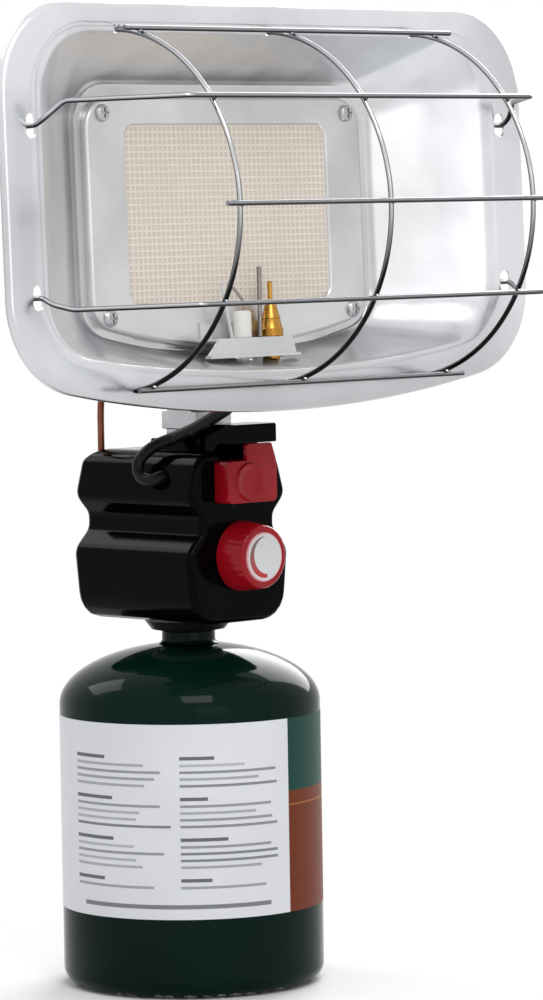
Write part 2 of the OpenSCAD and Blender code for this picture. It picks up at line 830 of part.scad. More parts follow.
module safety_magnet() {
    color(brass)
        translate([safety_x, block_back + seat, safety_z])
            rotate([-90, 0, 0])
                difference() {
                    union() {
                        cylinder(d = magnet_d, h = magnet_back - block_back - 4);
                        cylinder(d = 9, h = magnet_back - block_back, $fn = 6);
                        cylinder(d = 6, h = magnet_back - block_back + 2);
                    }
                    translate([0, 0, magnet_back - block_back - 2])
                        cylinder(r = lead_d / 2 + clear, h = 6);
                }
}

module copper_lead() {
    color([0.62, 0.36, 0.26])
        bar(smooth(lead_route), lead_d / 2);
}

module ignition_cable() {
    color(black)
        bar(smooth(cable_route, 3), cable_d / 2);
}

// ---- Burner neck ----

module burner_jet() {
    color(brass)
        translate([0, -tube_out, 0])
            difference() {
                union() {
                    translate([0, 0, jet_seat_z - 6])
                        cylinder(r = 2.5 - seat, h = 7);
                    translate([0, 0, jet_seat_z + seat])
                        cylinder(r = 4, h = 3.5, $fn = 6);
                    translate([0, 0, jet_seat_z + 3])
                        cylinder(r1 = 2.4, r2 = 1.3, h = 4);
                }
                translate([0, 0, jet_seat_z - 7])
                    cylinder(r = 0.6, h = 20, $fn = 24);
            }
}

module mixing_tube() {
    wall = 1;
    base_r = tube_base_d / 2;
    throat_r = tube_d / 2;
    z0 = jet_seat_z + seat;
    z1 = house_top + bracket_rise - clear;
    z2 = z1 + 6;
    z3 = chamber_low + 6;
    color(steel)
        translate([0, -tube_out, 0])
            difference() {
                rotate_extrude()
                    polygon([[base_r - wall, z0], [base_r, z0], [base_r, z1], [throat_r, z2],
                        [throat_r, z3], [throat_r - wall, z3], [throat_r - wall, z2],
                        [base_r - wall, z1]]);
                for (a = [0, 90])
                    translate([0, 0, z2 + 10])
                        rotate([90, 0, a])
                            cylinder(r = 3, h = 40, center = true);
            }
}

module neck_bracket() {
    foot_hw = bracket_hw - tab_t;
    arm_w = 12.6;
    foot_z = house_top + foot_gap + clear;
    z0 = house_top + bracket_rise;
    z1 = z0 + bracket_skirt;
    color(steel)
        translate([0, -tube_out, 0])
            difference() {
                union() {
                    translate([-bracket_hw, -bracket_hw, z0])
                        cube([2 * bracket_hw, 2 * bracket_hw, bracket_skirt]);
                    translate([-foot_hw, -foot_hw, foot_z])
                        cube([2 * foot_hw, 2 * foot_hw, bracket_rise]);
                    for (s = [0, 1])
                        mirror([s, 0, 0]) {
                            translate([bracket_hw - tab_t, -arm_w / 2, z1 - eps])
                                cube([tab_t, arm_w, tab_z - z1]);
                            translate([bracket_hw - tab_t, -arm_w / 2, tab_z - tab_t])
                                cube([tab_w, arm_w, tab_t]);
                        }
                }
                translate([0, 0, foot_z - 1])
                    cylinder(d = tube_base_d + 2 * clear, h = z1 - foot_z + 2);
                for (s = [-1, 1])
                    translate([s * tab_x, 0, tab_z - 5])
                        cylinder(r = 2.2, h = 10);
            }
}

module bracket_screws() {
    head_r = 3.6;
    head_h = 2.4;
    shank_r = 1.95;
    color(screw_grey)
        for (s = [-1, 1])
            translate([s * tab_x, -tube_out, tab_z - tab_t - seat]) {
                translate([0, 0, -head_h])
                    cylinder(r = head_r, h = head_h);
                cylinder(r = shank_r, h = 6);
            }
}

// ---- Reflector ----

// Shape at position s: 0 rim, 1 mouth of the bowl, 2 edge of the back pan, 3 burner opening
function shape_at(s) = let (i = min(floor(s), 2)) mix(shapes[i], shapes[i + 1], s - i);

// One closed ring of the sheet: [position, growth, depth]
function ring(k) = [for (p = bowed(shape_at(k[0]) + k[1] * [1, 1, 1, 1, 1])) [p.x, p.y, k[2]]];

// Face of the pressing from the burner opening out to the rim, as [position, depth]
function face_line() = concat([[3, pan_w]],
    [for (i = [0:3]) bend([2.15, pan_w], [2, pan_w], [1.92, 0.92 * pan_w], i / 3)],
    [for (i = [0:3]) bend([1.12, 0.12 * pan_w], [1, 0], [0.7, 0], i / 3)], [[0, 0]]);

module reflector_sheet() {
    face = face_line();
    n = len(face);
    grow = 0.6 * sheet;
    bead = [for (a = [50:-40:-230]) [0, bead_r * cos(a), bead_r * (sin(a) - 1)]];
    line = concat([for (k = face) [k[0], 0, k[1]]], bead,
        [for (i = [n - 2:-1:0]) [face[i][0], i == 0 ? 0 : grow, face[i][1] - sheet]]);
    rings = [for (k = line) ring(k)];
    m = len(rings[0]);
    all = len(rings);
    polyhedron([for (r = rings) each r],
        [for (i = [0:all - 1], k = [0:m - 1]) let (
            a = i * m + k, b = i * m + (k + 1) % m,
            c = ((i + 1) % all) * m + k, d = ((i + 1) % all) * m + (k + 1) % m)
            each [[a, d, c], [a, b, d]]]);
}

module reflector() {
    color([0.83, 0.83, 0.84])
        on_reflector()
            difference() {
                reflector_sheet();
                for (u = [-hoop_pitch, 0, hoop_pitch], s = [-1, 1])
                    translate([u, s * hoop_foot, -8])
                        cylinder(r = wire_r + clear, h = 12, $fn = 24);
                for (s = [-1, 1], v = [-slot_v, slot_v])
                    slab(-5, 3)
                        translate([s * slot_u, v])
                            square([5, 9], center = true);
                frame_screw_spots()
                    translate([0, 0, pan_w - 3])
                        cylinder(r = 2, h = 6, $fn = 24);
                for (u = [spark_x, pilot_x])
                    translate([u, 5 - rim_bottom, pilot_w])
                        rotate([-90, 0, 0])
                            cylinder(r = 4, h = 25, $fn = 24);
            }
}

// ---- Burner ----

module burner_chamber() {
    w0 = pan_w - sheet - seat;
    mouth = chamber_wall;
    difference() {
        color([0.72, 0.72, 0.72])
            on_reflector()
                difference() {
                    union() {
                        slab(w0 - chamber_wall, w0)
                            rounded_box(screw_hw + 6, screw_top + 5, screw_bottom + 5, 6);
                        slab(ledge_w - chamber_wall, w0)
                            rounded_box(open_hw + mouth, open_top + mouth, open_bottom + mouth, 5);
                        slab(chamber_w, ledge_w)
                            rounded_box(plaque_hw - 1, plaque_top - 1, plaque_bottom - 1, 5);
                    }
                    slab(ledge_w, w0 + 1)
                        rounded_box(open_hw, open_top, open_bottom, 4);
                    slab(chamber_w + chamber_wall, ledge_w + 1)
                        rounded_box(plaque_hw - 2, plaque_top - 2, plaque_bottom - 2, 4);
                    frame_screw_spots()
                        translate([0, 0, w0 - 3])
                            cylinder(r = 1.8, h = 6);
                }
        translate([0, -tube_out, chamber_low - 6])
            cylinder(r = tube_d / 2 + clear, h = 12);
        for (s = [-1, 1])
            translate([s * tab_x, -tube_out, chamber_low - 4])
                cylinder(r = 2, h = 8);
    }
}

module plaque_gasket() {
    color([0.9, 0.9, 0.88])
        on_reflector()
            slab(ledge_w + seat, pan_w - sheet)
                difference() {
                    rounded_box(open_hw - seat, open_top - seat, open_bottom - seat, 4);
                    rounded_box(plaque_hw + seat, plaque_top + seat, plaque_bottom + seat, 2);
                }
}

module burner_plaque() {
    color([0.86, 0.8, 0.74])
        on_reflector()
            slab(plaque_w - plaque_t, plaque_w)
                rounded_box(plaque_hw, plaque_top, plaque_bottom, 2);
}

module burner_frame() {
    outer = [frame_hw, frame_top, frame_bottom, frame_bow, frame_corner];
    color([0.8, 0.8, 0.81])
        on_reflector()
            difference() {
                slab(pan_w + seat, frame_w)
                    polygon(bowed(outer));
                slab(pan_w - 1, frame_w - sheet)
                    polygon(bowed(outer - sheet * [1, 1, 1, 1, 1]));
                slab(pan_w, frame_w + 1)
                    rounded_box(window_hw, window_top, window_bottom, 4);
                frame_screw_spots()
                    translate([0, 0, pan_w])
                        cylinder(r = 2, h = 6);
            }
}

module frame_screws() {
    color([0.75, 0.75, 0.76])
        on_reflector()
            frame_screw_spots() {
                translate([0, 0, frame_w + seat])
                    rotate_extrude()
                        polygon([[0, 0], [3.6, 0], [3.6, 0.6], [2.6, 1.6], [0, 2.1]]);
                translate([0, 0, pan_w - 6])
                    cylinder(r = 1.7, h = 6 + frame_lift + 0.5);
            }
}

// ---- Pilot ----

module pilot_bracket() {
    t = 1;
    shelf_out = 14;
    shield_h = 7.2;
    shelf_left = -18.7;
    shelf_right = 18.9;
    splay = 7;
    lip = 2;
    front = pan_w + shelf_out;
    low = shelf_v - shield_h;
    color([0.85, 0.85, 0.86])
        on_reflector()
            difference() {
                union() {
                    translate([shelf_left, shelf_v - t, frame_w + seat])
                        cube([shelf_right - shelf_left, t, front - frame_w - seat]);
                    slab(front - t, front)
                        polygon([[shelf_left - splay, low], [shelf_right + 2, low],
                            [shelf_right, shelf_v], [shelf_left, shelf_v]]);
                    translate([shelf_left - splay, low, front - t])
                        cube([shelf_right - shelf_left + splay + 2, t, t + lip]);
                    translate([shelf_left, shelf_v - t, frame_w + seat])
                        cube([shelf_right - shelf_left, 7, t]);
                    bar(eased([[-7.5, shelf_v - 0.5, pilot_w], [-10, shelf_v + 11, pilot_w],
                        [-12, shelf_v + 20, pilot_w]], 4), 0.7, 6);
                }
                for (p = [[spark_x, insulator_r], [pilot_x, pilot_r]])
                    translate([p.x, shelf_v - 5, pilot_w])
                        rotate([-90, 0, 0])
                            cylinder(r = p.y + clear, h = 10);
            }
}

module pilot_fitting() {
    color(brass)
        on_reflector()
            translate([pilot_x, 0, pilot_w])
                rotate([-90, 0, 0])
                    difference() {
                        rotate_extrude()
                            polygon([[0, shelf_v - pilot_drop], [pilot_r, shelf_v - pilot_drop],
                                [pilot_r, shelf_v + seat], [4.4, shelf_v + seat], [4.4, shelf_v + 3],
                                [3.4, shelf_v + 6.5], [2.25, shelf_v + 11.5],
                                [0.9, shelf_v + 13], [0.9, shelf_v + 20.5], [0, shelf_v + 20.5]]);
                        translate([0, 0, shelf_v - pilot_drop - 1])
                            cylinder(r = lead_d / 2 + clear, h = 3.5);
                    }
}

module thermocouple() {
    probe_x = pilot_x - 6;
    color([0.5, 0.5, 0.5])
        on_reflector()
            bar(eased([[probe_x, shelf_v + 0.3, pilot_w], [probe_x + 0.4, shelf_v + 12, pilot_w],
                [probe_x + 0.8, shelf_v + 26, pilot_w]], 4), 0.9);
}

module electrode_insulator() {
    color([0.95, 0.95, 0.93])
        on_reflector()
            translate([spark_x, 0, pilot_w])
                rotate([-90, 0, 0])
                    rotate_extrude()
                        polygon([[0, shelf_v - pilot_drop], [insulator_r, shelf_v - pilot_drop],
                            [insulator_r, shelf_v + seat], [insulator_head_r, shelf_v + seat],
                            [insulator_head_r, shelf_v + 9.2],
                            [insulator_head_r - 0.8, shelf_v + 10], [0, shelf_v + 10]]);
}

module spark_electrode() {
    color([0.6, 0.6, 0.6])
        on_reflector()
            bar(eased([[spark_x + 1, shelf_v + 10 + seat, pilot_w],
                [spark_x + 1, shelf_v + 13.5, pilot_w],
                [spark_x - 4, shelf_v + 18.5, pilot_w]], 1), 0.6, 6);
}

// ---- Wire guard ----

// Depth at which the hoops, or a wire lying on them, pass height v
function hoop_depth(r, v) = hoop_w + sqrt(r * r - v * v);

// Foot of a hoop at height v: through the flange, then a hook upwards behind it
function hoop_foot_path(u, v) = [[u, v, -sheet - 1.5], [u, v + 0.9, hook_w],
    [u, v + hook_len, hook_w]];

module guard_hoop(u) {
    foot_turn = acos(-hoop_w / hoop_r);
    low = hoop_foot_path(u, -hoop_foot);
    color(guard_grey)
        on_reflector()
            bar(concat([low[2], low[1], low[0]],
                [for (i = [0:24]) let (a = -foot_turn + 2 * foot_turn * i / 24)
                    [u, hoop_r * sin(a), hoop_w + hoop_r * cos(a)]],
                hoop_foot_path(u, hoop_foot)), wire_r);
}

// A side wire lies on the hoops, bends back at both sides and hooks into the flange
module side_wire(v, end_v) {
    w = hoop_depth(rod_r, v);
    half = [[run_hw, v, w], [slot_u - 5, v, 12], [slot_u - 1, end_v * 1.08, 6],
        [slot_u, end_v, 2], [slot_u, end_v, -3], [slot_u + 5, end_v, -3.6]];
    n = len(half);
    color(guard_grey)
        on_reflector()
            bar(eased(concat([for (i = [n - 1:-1:0]) [-half[i].x, half[i].y, half[i].z]], half),
                1.9), wire_r);
}

module guard_rod(v) {
    color(guard_grey)
        on_reflector()
            translate([-rod_hw, v, hoop_depth(rod_r, v)])
                rotate([0, 90, 0])
                    cylinder(r = wire_r, h = 2 * rod_hw, $fn = 24);
}

gas_cylinder();
cylinder_neck();
check_valve();
inlet_gasket();
valve_body();
regulator_diaphragm();
regulator_spring();
regulator_cover();
gland_nut();
valve_stem();
control_knob();
knob_dial();
housing_front();
housing_rear();
housing_screws();
button_hood();
ignition_button();
button_plunger();
button_spring();
piezo_igniter();
piezo_striker();
safety_magnet();
copper_lead();
ignition_cable();
burner_jet();
mixing_tube();
neck_bracket();
bracket_screws();
reflector();
burner_chamber();
plaque_gasket();
burner_plaque();
burner_frame();
frame_screws();
pilot_bracket();
pilot_fitting();
thermocouple();
electrode_insulator();
spark_electrode();
guard_hoop(-hoop_pitch);  // guard_hoop_left
guard_hoop(0);  // guard_hoop_middle
guard_hoop(hoop_pitch);  // guard_hoop_right
side_wire(upper_wire, slot_v);  // guard_wire_upper
side_wire(-lower_wire, -slot_v);  // guard_wire_lower
guard_rod(0);  // guard_rod_middle
guard_rod(foot_rod);  // guard_rod_top
guard_rod(-foot_rod);  // guard_rod_bottom
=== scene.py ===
from math import acos, atan2, cos, degrees, pi, radians, sin, sqrt

import bmesh
import bpy
from mathutils import Matrix, Vector


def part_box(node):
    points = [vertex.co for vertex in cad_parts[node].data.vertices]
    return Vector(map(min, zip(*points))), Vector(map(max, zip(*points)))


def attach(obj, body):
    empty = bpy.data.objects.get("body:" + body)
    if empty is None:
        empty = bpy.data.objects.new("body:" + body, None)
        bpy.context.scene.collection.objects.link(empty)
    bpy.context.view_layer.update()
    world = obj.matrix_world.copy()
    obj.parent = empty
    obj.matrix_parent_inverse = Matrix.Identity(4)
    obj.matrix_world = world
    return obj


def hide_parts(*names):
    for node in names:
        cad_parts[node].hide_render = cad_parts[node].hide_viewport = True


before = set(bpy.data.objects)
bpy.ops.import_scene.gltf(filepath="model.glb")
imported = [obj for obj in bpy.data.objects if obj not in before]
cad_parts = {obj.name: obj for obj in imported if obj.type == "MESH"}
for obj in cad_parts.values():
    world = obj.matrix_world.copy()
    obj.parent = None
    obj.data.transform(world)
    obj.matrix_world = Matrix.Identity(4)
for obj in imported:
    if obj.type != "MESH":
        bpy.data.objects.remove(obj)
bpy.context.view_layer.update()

# ---- Gas cylinder ----
# A disposable gas bottle of drawn steel, with a domed shoulder, rounded lower corner and a
# hollow base that leaves a flat ring to stand on. It is sprayed with gloss green enamel, which
# has worn through here and there on the ring.

mm = 0.001
bottle_r, bottle_wall, neck_hole_r = 49.0, 1.2, 8.0
shoulder_z, shoulder_rise, shoulder_end = 105.5, 22.5, radians(81)


def arc(centre, radius, start, end, steps):
    """Points on an arc, from one angle to another in degrees."""
    turns = [radians(start + (end - start) * k / steps) for k in range(steps + 1)]
    return [(centre[0] + radius * cos(t), centre[1] + radius * sin(t)) for t in turns]


def shoulder(inset):
    """The domed shoulder, from the straight side up to the hole for the neck."""
    steps = 28
    turns = [shoulder_end * k / steps for k in range(steps + 1)]
    radius, rise = bottle_r - inset, shoulder_rise - inset
    return [(radius * cos(t), shoulder_z + rise * sin(t)) for t in turns]


def bottle_outline():
    """Outside of the bottle from its hollow base up, then the inside back down."""
    corner, foot_w, hollow = 7.0, 4.0, 6.0
    foot_in = bottle_r - corner - foot_w
    base = [(foot_in * x, hollow * z) for z, x in arc((0, 0), 1, 0, 90, 10)]
    outside = base + arc((bottle_r - corner, corner), corner, 270, 360, 12) + shoulder(0)
    top = shoulder_z + shoulder_rise * sin(shoulder_end)
    hole = [(neck_hole_r, top + 0.02), (neck_hole_r, top - bottle_wall)]
    return outside + hole + shoulder(bottle_wall)[::-1] + [(0, hollow + bottle_wall)]


def linked(name, data):
    """A new object in the scene."""
    made = bpy.data.objects.new(name, data)
    bpy.context.scene.collection.objects.link(made)
    return made


def put_in_scene(name, mesh, crease=35):
    """Makes a piece of a finished mesh, smooth except where it turns by more than `crease`."""
    data = bpy.data.meshes.new(name)
    mesh.to_mesh(data)
    mesh.free()
    data.shade_smooth()
    data.set_sharp_from_angle(angle=radians(crease))
    return linked(name, data)


def join_rings(mesh, low, high):
    """Faces between two rings of points; a ring of one point is a pole."""
    for k in range(max(len(low), len(high))):
        corners = [low[k % len(low)], low[(k + 1) % len(low)],
                   high[(k + 1) % len(high)], high[k % len(high)]]
        corners = [c for i, c in enumerate(corners) if c not in corners[:i]]
        if len(corners) > 2:
            mesh.faces.new(corners)


def skin(mesh, rings, closed=True):
    """Adds faces through rings of points in mm, and from the last ring back to the first."""
    made = [[mesh.verts.new([c * mm for c in point]) for point in ring] for ring in rings]
    for low, high in zip(made, made[1:]):
        join_rings(mesh, low, high)
    if closed:
        join_rings(mesh, made[-1], made[0])
    bmesh.ops.recalc_face_normals(mesh, faces=mesh.faces)
    return made


def lofted(name, rings, place=None, closed=True, crease=35):
    """A piece whose surface runs through rings of points in mm, along the axes of `place`."""
    mesh = bmesh.new()
    skin(mesh, rings, closed)
    if place is not None:
        mesh.transform(place)
    return put_in_scene(name, mesh, crease)


def ring_of(radius_at, height, steps):
    """Points round the Z axis, their radius worked out from how far round they are."""
    turns = [2 * pi * k / steps for k in range(steps)]
    return [(radius_at(t) * cos(t), radius_at(t) * sin(t), height) for t in turns]


def circle(radius, height, steps):
    """Points round the Z axis, or a single one where the radius is nothing."""
    return ring_of(lambda turn: radius, height, steps if radius > 1e-6 else 1)


def turned(name, outline, place=None, steps=96, closed=False):
    """A turned piece: an outline of (radius, height) swept round the Z axis of `place`."""
    return lofted(name, [circle(radius, height, steps) for radius, height in outline], place, closed)


def feed(made, inputs):
    """Gives a node values or other nodes' outputs, by socket name or number."""
    for key, value in inputs.items():
        if isinstance(value, bpy.types.NodeSocket):
            made.id_data.links.new(value, made.inputs[key])
        else:
            made.inputs[key].default_value = value


def node(tree, kind, inputs=None, **settings):
    """Adds a node with its inputs and settings."""
    made = tree.nodes.new(kind)
    for key, value in settings.items():
        setattr(made, key, value)
    feed(made, inputs or {})
    return made


def calc(operation, a, b=0.0):
    """One step of arithmetic. At least one of a and b is a node's output, and says in which tree."""
    tree = (a if isinstance(a, bpy.types.NodeSocket) else b).id_data
    return node(tree, "ShaderNodeMath", {0: a, 1: b}, operation=operation).outputs[0]


def product(a, b):
    """One value times another."""
    return calc("MULTIPLY", a, b)


def mixed(factor, a, b):
    """Colour a where factor is 0, colour b where it is 1."""
    inputs = {0: factor, 6: a, 7: b}
    return node(factor.id_data, "ShaderNodeMix", inputs, data_type="RGBA").outputs[2]


def between(value, low, high, start=0.0, end=1.0):
    """Maps low..high to start..end, and holds it there beyond them."""
    inputs = {0: value, 1: low, 2: high, 3: start, 4: end}
    return node(value.id_data, "ShaderNodeMapRange", inputs).outputs[0]


def tone(red, green, blue):
    """A linear colour from the usual 0 to 255 values."""
    def linear(c):
        c /= 255
        return c / 12.92 if c < 0.04045 else ((c + 0.055) / 1.055) ** 2.4
    return (linear(red), linear(green), linear(blue), 1.0)


def coordinates(tree, kind="Object"):
    """The place on the piece in metres, or its "Normal"."""
    return node(tree, "ShaderNodeTexCoord").outputs[kind]


def axes(tree, kind="Object"):
    """X, Y and Z of the place on the piece, or of its "Normal"."""
    return node(tree, "ShaderNodeSeparateXYZ", {0: coordinates(tree, kind)}).outputs


def noise(tree, scale, detail, where=None, **others):
    """Noise over the piece, or over the places given."""
    inputs = {"Vector": where or coordinates(tree), "Scale": scale, "Detail": detail, **others}
    return node(tree, "ShaderNodeTexNoise", inputs).outputs[0]


def group_tree(name, kind, inputs, outputs):
    """An empty node group with named sockets, and the outputs of its input node."""
    tree = bpy.data.node_groups.new(name, kind)
    for way, sockets in (("INPUT", inputs), ("OUTPUT", outputs)):
        for socket, value_kind in sockets.items():
            tree.interface.new_socket(socket, in_out=way, socket_type="NodeSocket" + value_kind)
    return tree, node(tree, "NodeGroupInput").outputs


def worked_surface():
    """Shader group: soft patches of two colours, grain, and small marks from handling."""
    tree, given = group_tree(
        "worked surface", "ShaderNodeTree",
        {"Dark": "Color", "Light": "Color", "Patch scale": "Float", "Grain": "Vector", "Smooth": "Float",
         "Dull": "Float", "Marks": "Float"},
        {"Color": "Color", "Roughness": "Float", "Height": "Float"})
    patches = noise(tree, given["Patch scale"], 3.0)
    grained = {0: coordinates(tree), 1: given["Grain"]}
    stretched = node(tree, "ShaderNodeVectorMath", grained, operation="MULTIPLY").outputs[0]
    grain = noise(tree, 1.0, 4.0, stretched)
    specks = noise(tree, product(given["Patch scale"], 9.0), 5.0, Distortion=1.2)
    marked = product(between(specks, 0.62, 0.72), given["Marks"])
    soft = mixed(between(patches, 0.35, 0.65), given["Dark"], given["Light"])
    color = mixed(product(marked, 0.25), soft, tone(200, 198, 194))
    rough = between(grain, 0.3, 0.7, given["Smooth"], given["Dull"])
    rough = calc("ADD", rough, product(marked, 0.15))
    height = calc("SUBTRACT", grain, product(marked, 0.3))
    node(tree, "NodeGroupOutput", {"Color": color, "Roughness": rough, "Height": height})
    return tree


surface_tree = worked_surface()


def finish(name, dark, light, smooth, dull, patch=40.0, grain=(900.0, 900.0, 900.0), bump=0.02, marks=0.2,
           metal=0.0, specular=0.5, detail=None):
    """A material of the worked surface between two tones, given as 0 to 255 values. A function for
    its detail takes its tree and worked surface and returns what it changes on the shader."""
    made = bpy.data.materials.new(name)
    made.use_nodes = True
    tree = made.node_tree
    values = {"Dark": tone(*dark), "Light": tone(*light), "Patch scale": patch, "Grain": grain,
              "Smooth": smooth, "Dull": dull, "Marks": marks}
    worked = node(tree, "ShaderNodeGroup", values, node_tree=surface_tree, name="worked").outputs
    relief = node(tree, "ShaderNodeBump", {"Height": worked["Height"], "Strength": bump, "Distance": 0.0006},
                  name="relief")
    shader = tree.nodes["Principled BSDF"]
    feed(shader, {"Base Color": worked["Color"], "Roughness": worked["Roughness"], "Metallic": metal,
                  "Normal": relief.outputs[0], "Specular IOR Level": specular})
    if detail:
        feed(shader, detail(tree, worked))
    return made


def rubbed_through(tree, worked):
    """Enamel worn down to bare steel here and there on the standing ring."""
    ring_top = 0.0035
    low = between(axes(tree)["Z"], 0.0, ring_top, 0.22, -0.25)
    bare = between(calc("ADD", noise(tree, 420.0, 4.0), low), 0.6, 0.66)
    return {"Base Color": mixed(bare, worked["Color"], tone(170, 170, 165)), "Metallic": bare}


def fit(piece, body, slot, material, *nodes):
    """Gives a piece its finish, fixes it to its body and lets it stand for its CAD nodes."""
    piece.data.materials.clear()
    piece.data.materials.append(material)
    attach(piece, body)
    if nodes:
        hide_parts(*nodes)
    return piece


green_enamel = finish("green enamel", (3, 25, 20), (5, 32, 26), 0.05, 0.1, patch=18, grain=(380, 380, 380),
                      marks=0.0, specular=0.07, detail=rubbed_through)
bottle = turned("bottle", bottle_outline(), steps=160)
fit(bottle, "cylinder", "cylinder_enamel", green_enamel, "gas_cylinder")

# ---- Paper label ----
# A printed paper label glued round the bottle's side and overlapped at the back. One panel is
# plain white with blank ruled lines, the other green over brown. Nothing is written on it.

label_low, label_high, brown_top = 30.0, 101.9, 75.0
panel_start, panel_end = -87.0, 53.0


def wrapped(value, span):
    """A value that starts again from 0 at each span."""
    inputs = {0: value, 1: span, 2: 0.0}
    return node(value.id_data, "ShaderNodeMath", inputs, operation="WRAP").outputs[0]


def inside(value, low, high):
    """1 where a value lies between two others."""
    above = calc("GREATER_THAN", value, low)
    return product(above, calc("LESS_THAN", value, high))


def blank_lines(tree, around, height):
    """Two columns of plain ruled lines in groups, each led by a short heavy one, over one long line.
    Places round the bottle are in degrees, heights in mm."""
    pitch, group, lowest, highest, thin, thick = 2.5, 6.0, 39.0, 90.0, 1.0, 1.3
    height = calc("SUBTRACT", height, 1.3)
    row = calc("FLOOR", calc("DIVIDE", height, pitch))
    place = calc("FLOORED_MODULO", row, group)
    heavy = calc("GREATER_THAN", place, group - 1.5)
    width = between(heavy, 0.0, 1.0, thin, thick)
    drawn = calc("LESS_THAN", wrapped(height, pitch), width)
    drawn = product(drawn, calc("GREATER_THAN", place, 0.5))
    drawn = product(drawn, inside(height, lowest, highest))
    columns = 0.0
    for start, reach in ((167.0, 50.0), (221.0, 45.0)):
        seed = calc("ADD", row, start)
        chance = node(tree, "ShaderNodeTexWhiteNoise", {"W": seed}, noise_dimensions="1D").outputs["Value"]
        longest = between(heavy, 0.0, 1.0, 1.0, 0.42)
        share = product(between(chance, 0.0, 1.0, 0.62, 1.1), longest)
        end = calc("ADD", start, product(calc("MINIMUM", share, 1.0), reach))
        ink = calc("MAXIMUM", between(chance, 0.0, 1.0, 0.4, 0.8), product(heavy, 0.9))
        columns = calc("ADD", columns, product(inside(around, start, end), ink))
    long_line = product(inside(height, 32.6, 34.2), inside(around, 172.0, 262.0))
    return calc("MAXIMUM", product(drawn, columns), product(long_line, 0.8))


def blank_print(tree, worked):
    """White paper with blank lines, and a panel of two plain colours with a thin stripe."""
    stripe_low, stripe_high, edge_width = brown_top - 5.4, brown_top - 4.8, 1.2
    where = axes(tree)
    turn = product(calc("ARCTAN2", where["Y"], where["X"]), 180 / pi)
    height = product(where["Z"], 1000.0)
    panel = inside(turn, panel_start, panel_end)
    brown = inside(height, label_low, brown_top)
    stripe = product(inside(height, stripe_low, stripe_high), 0.6)
    panel_color = mixed(brown, tone(26, 68, 60), tone(112, 52, 28))
    panel_color = mixed(stripe, panel_color, tone(190, 120, 70))
    edge = product(inside(turn, panel_end - edge_width, panel_end), 0.5)
    panel_color = mixed(edge, panel_color, tone(225, 225, 228))
    around = wrapped(calc("ADD", turn, 360.0), 360.0)
    white = mixed(blank_lines(tree, around, height), worked["Color"], tone(84, 86, 92))
    return {"Base Color": mixed(panel, white, panel_color)}


paper = finish("label paper", (222, 224, 230), (228, 230, 236), 0.34, 0.46, patch=22, grain=(1500, 1500, 700),
               bump=0.05, marks=0.0, specular=0.1, detail=blank_print)
glued_r, paper_r = bottle_r - 0.05, bottle_r + 0.04
label_outline = [(glued_r, label_low), (paper_r, label_low), (paper_r, label_high), (glued_r, label_high)]
label = turned("paper_label", label_outline, steps=160, closed=True)
fit(label, "cylinder", "cylinder_enamel", paper)

# ---- Neck and check valve ----
# A steel neck welded into the shoulder, enamelled with the bottle below its bare rolled thread.
# The brass check valve is pressed into its bore and keeps the bottle closed.

neck_low, neck_top = [corner.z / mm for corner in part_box("cylinder_neck")]
neck_foot = neck_low + 4.0
thread_low = neck_foot + 5.3
thread_r, thread_pitch = 12.7, 1.27
neck_bore_r, neck_r, weld_r = 5.5, 10.0, 11.2


def bare_metal(name, shade, smooth, dull, **others):
    """Bare steel in a given shade of grey, with its grain along one way."""
    usual = {"patch": 60.0, "grain": (300.0, 300.0, 2200.0), "bump": 0.05, "metal": 1.0}
    return finish(name, [c * 0.9 for c in shade], shade, smooth, dull, **{**usual, **others})


def threaded_ring(name, low, high, radius, pitch, bore):
    """A threaded sleeve: its ridge climbs by one pitch a turn and fades out at both ends."""
    steps, depth, rows_a_turn = 72, 0.62, 6
    rows = int((high - low) / pitch * rows_a_turn)

    def thread_row(j):
        height = low + (high - low) * j / rows
        fade = min(1.0, j / rows_a_turn, (rows - j) / rows_a_turn)

        def ridge(turn):
            phase = ((height - low) / pitch - turn / (2 * pi)) % 1.0
            return radius - depth * (1 - fade * (1 - abs(2 * phase - 1)))
        return ring_of(ridge, height, steps)

    rings = [thread_row(j) for j in range(rows + 1)]
    return lofted(name, rings + [circle(bore, high, steps), circle(bore, low, steps)], crease=50)


def coat(material, *nodes):
    """Gives CAD nodes that keep their own shape a finish."""
    for name in nodes:
        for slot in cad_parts[name].material_slots:
            slot.material = material


thread_steel = bare_metal("thread steel", (150, 148, 143), 0.28, 0.42)
brass = finish("turned brass", (176, 128, 56), (196, 148, 70), 0.22, 0.36, patch=90,
               grain=(400, 400, 2600), bump=0.05, metal=1.0)
plain_r = neck_hole_r - 0.05
neck_outline = [
    (neck_bore_r, neck_low), (plain_r, neck_low), (plain_r, neck_foot), (weld_r, neck_foot),
    (neck_r + 0.4, neck_foot + 0.5), (neck_r, neck_foot + 1.2), (neck_r, thread_low - 1),
    (thread_r - 0.7, thread_low), (neck_bore_r, thread_low)]
neck = turned("bottle_neck", neck_outline, closed=True)
fit(neck, "cylinder", "cylinder_enamel", green_enamel, "cylinder_neck")
thread = threaded_ring("neck_thread", thread_low, neck_top, thread_r, thread_pitch, neck_bore_r)
fit(thread, "cylinder", "bare_steel", thread_steel)
coat(brass, "check_valve")

# ---- Inlet gasket and valve body ----
# The zinc die casting screws onto the neck and is sealed by a rubber ring. The regulator is
# bolted to its back and the needle valve and the safety valve lie across it.


def baked(piece):
    """A plain mesh of a piece as its modifiers leave it."""
    dg = bpy.context.evaluated_depsgraph_get()
    return bpy.data.meshes.new_from_object(piece.evaluated_get(dg), depsgraph=dg)


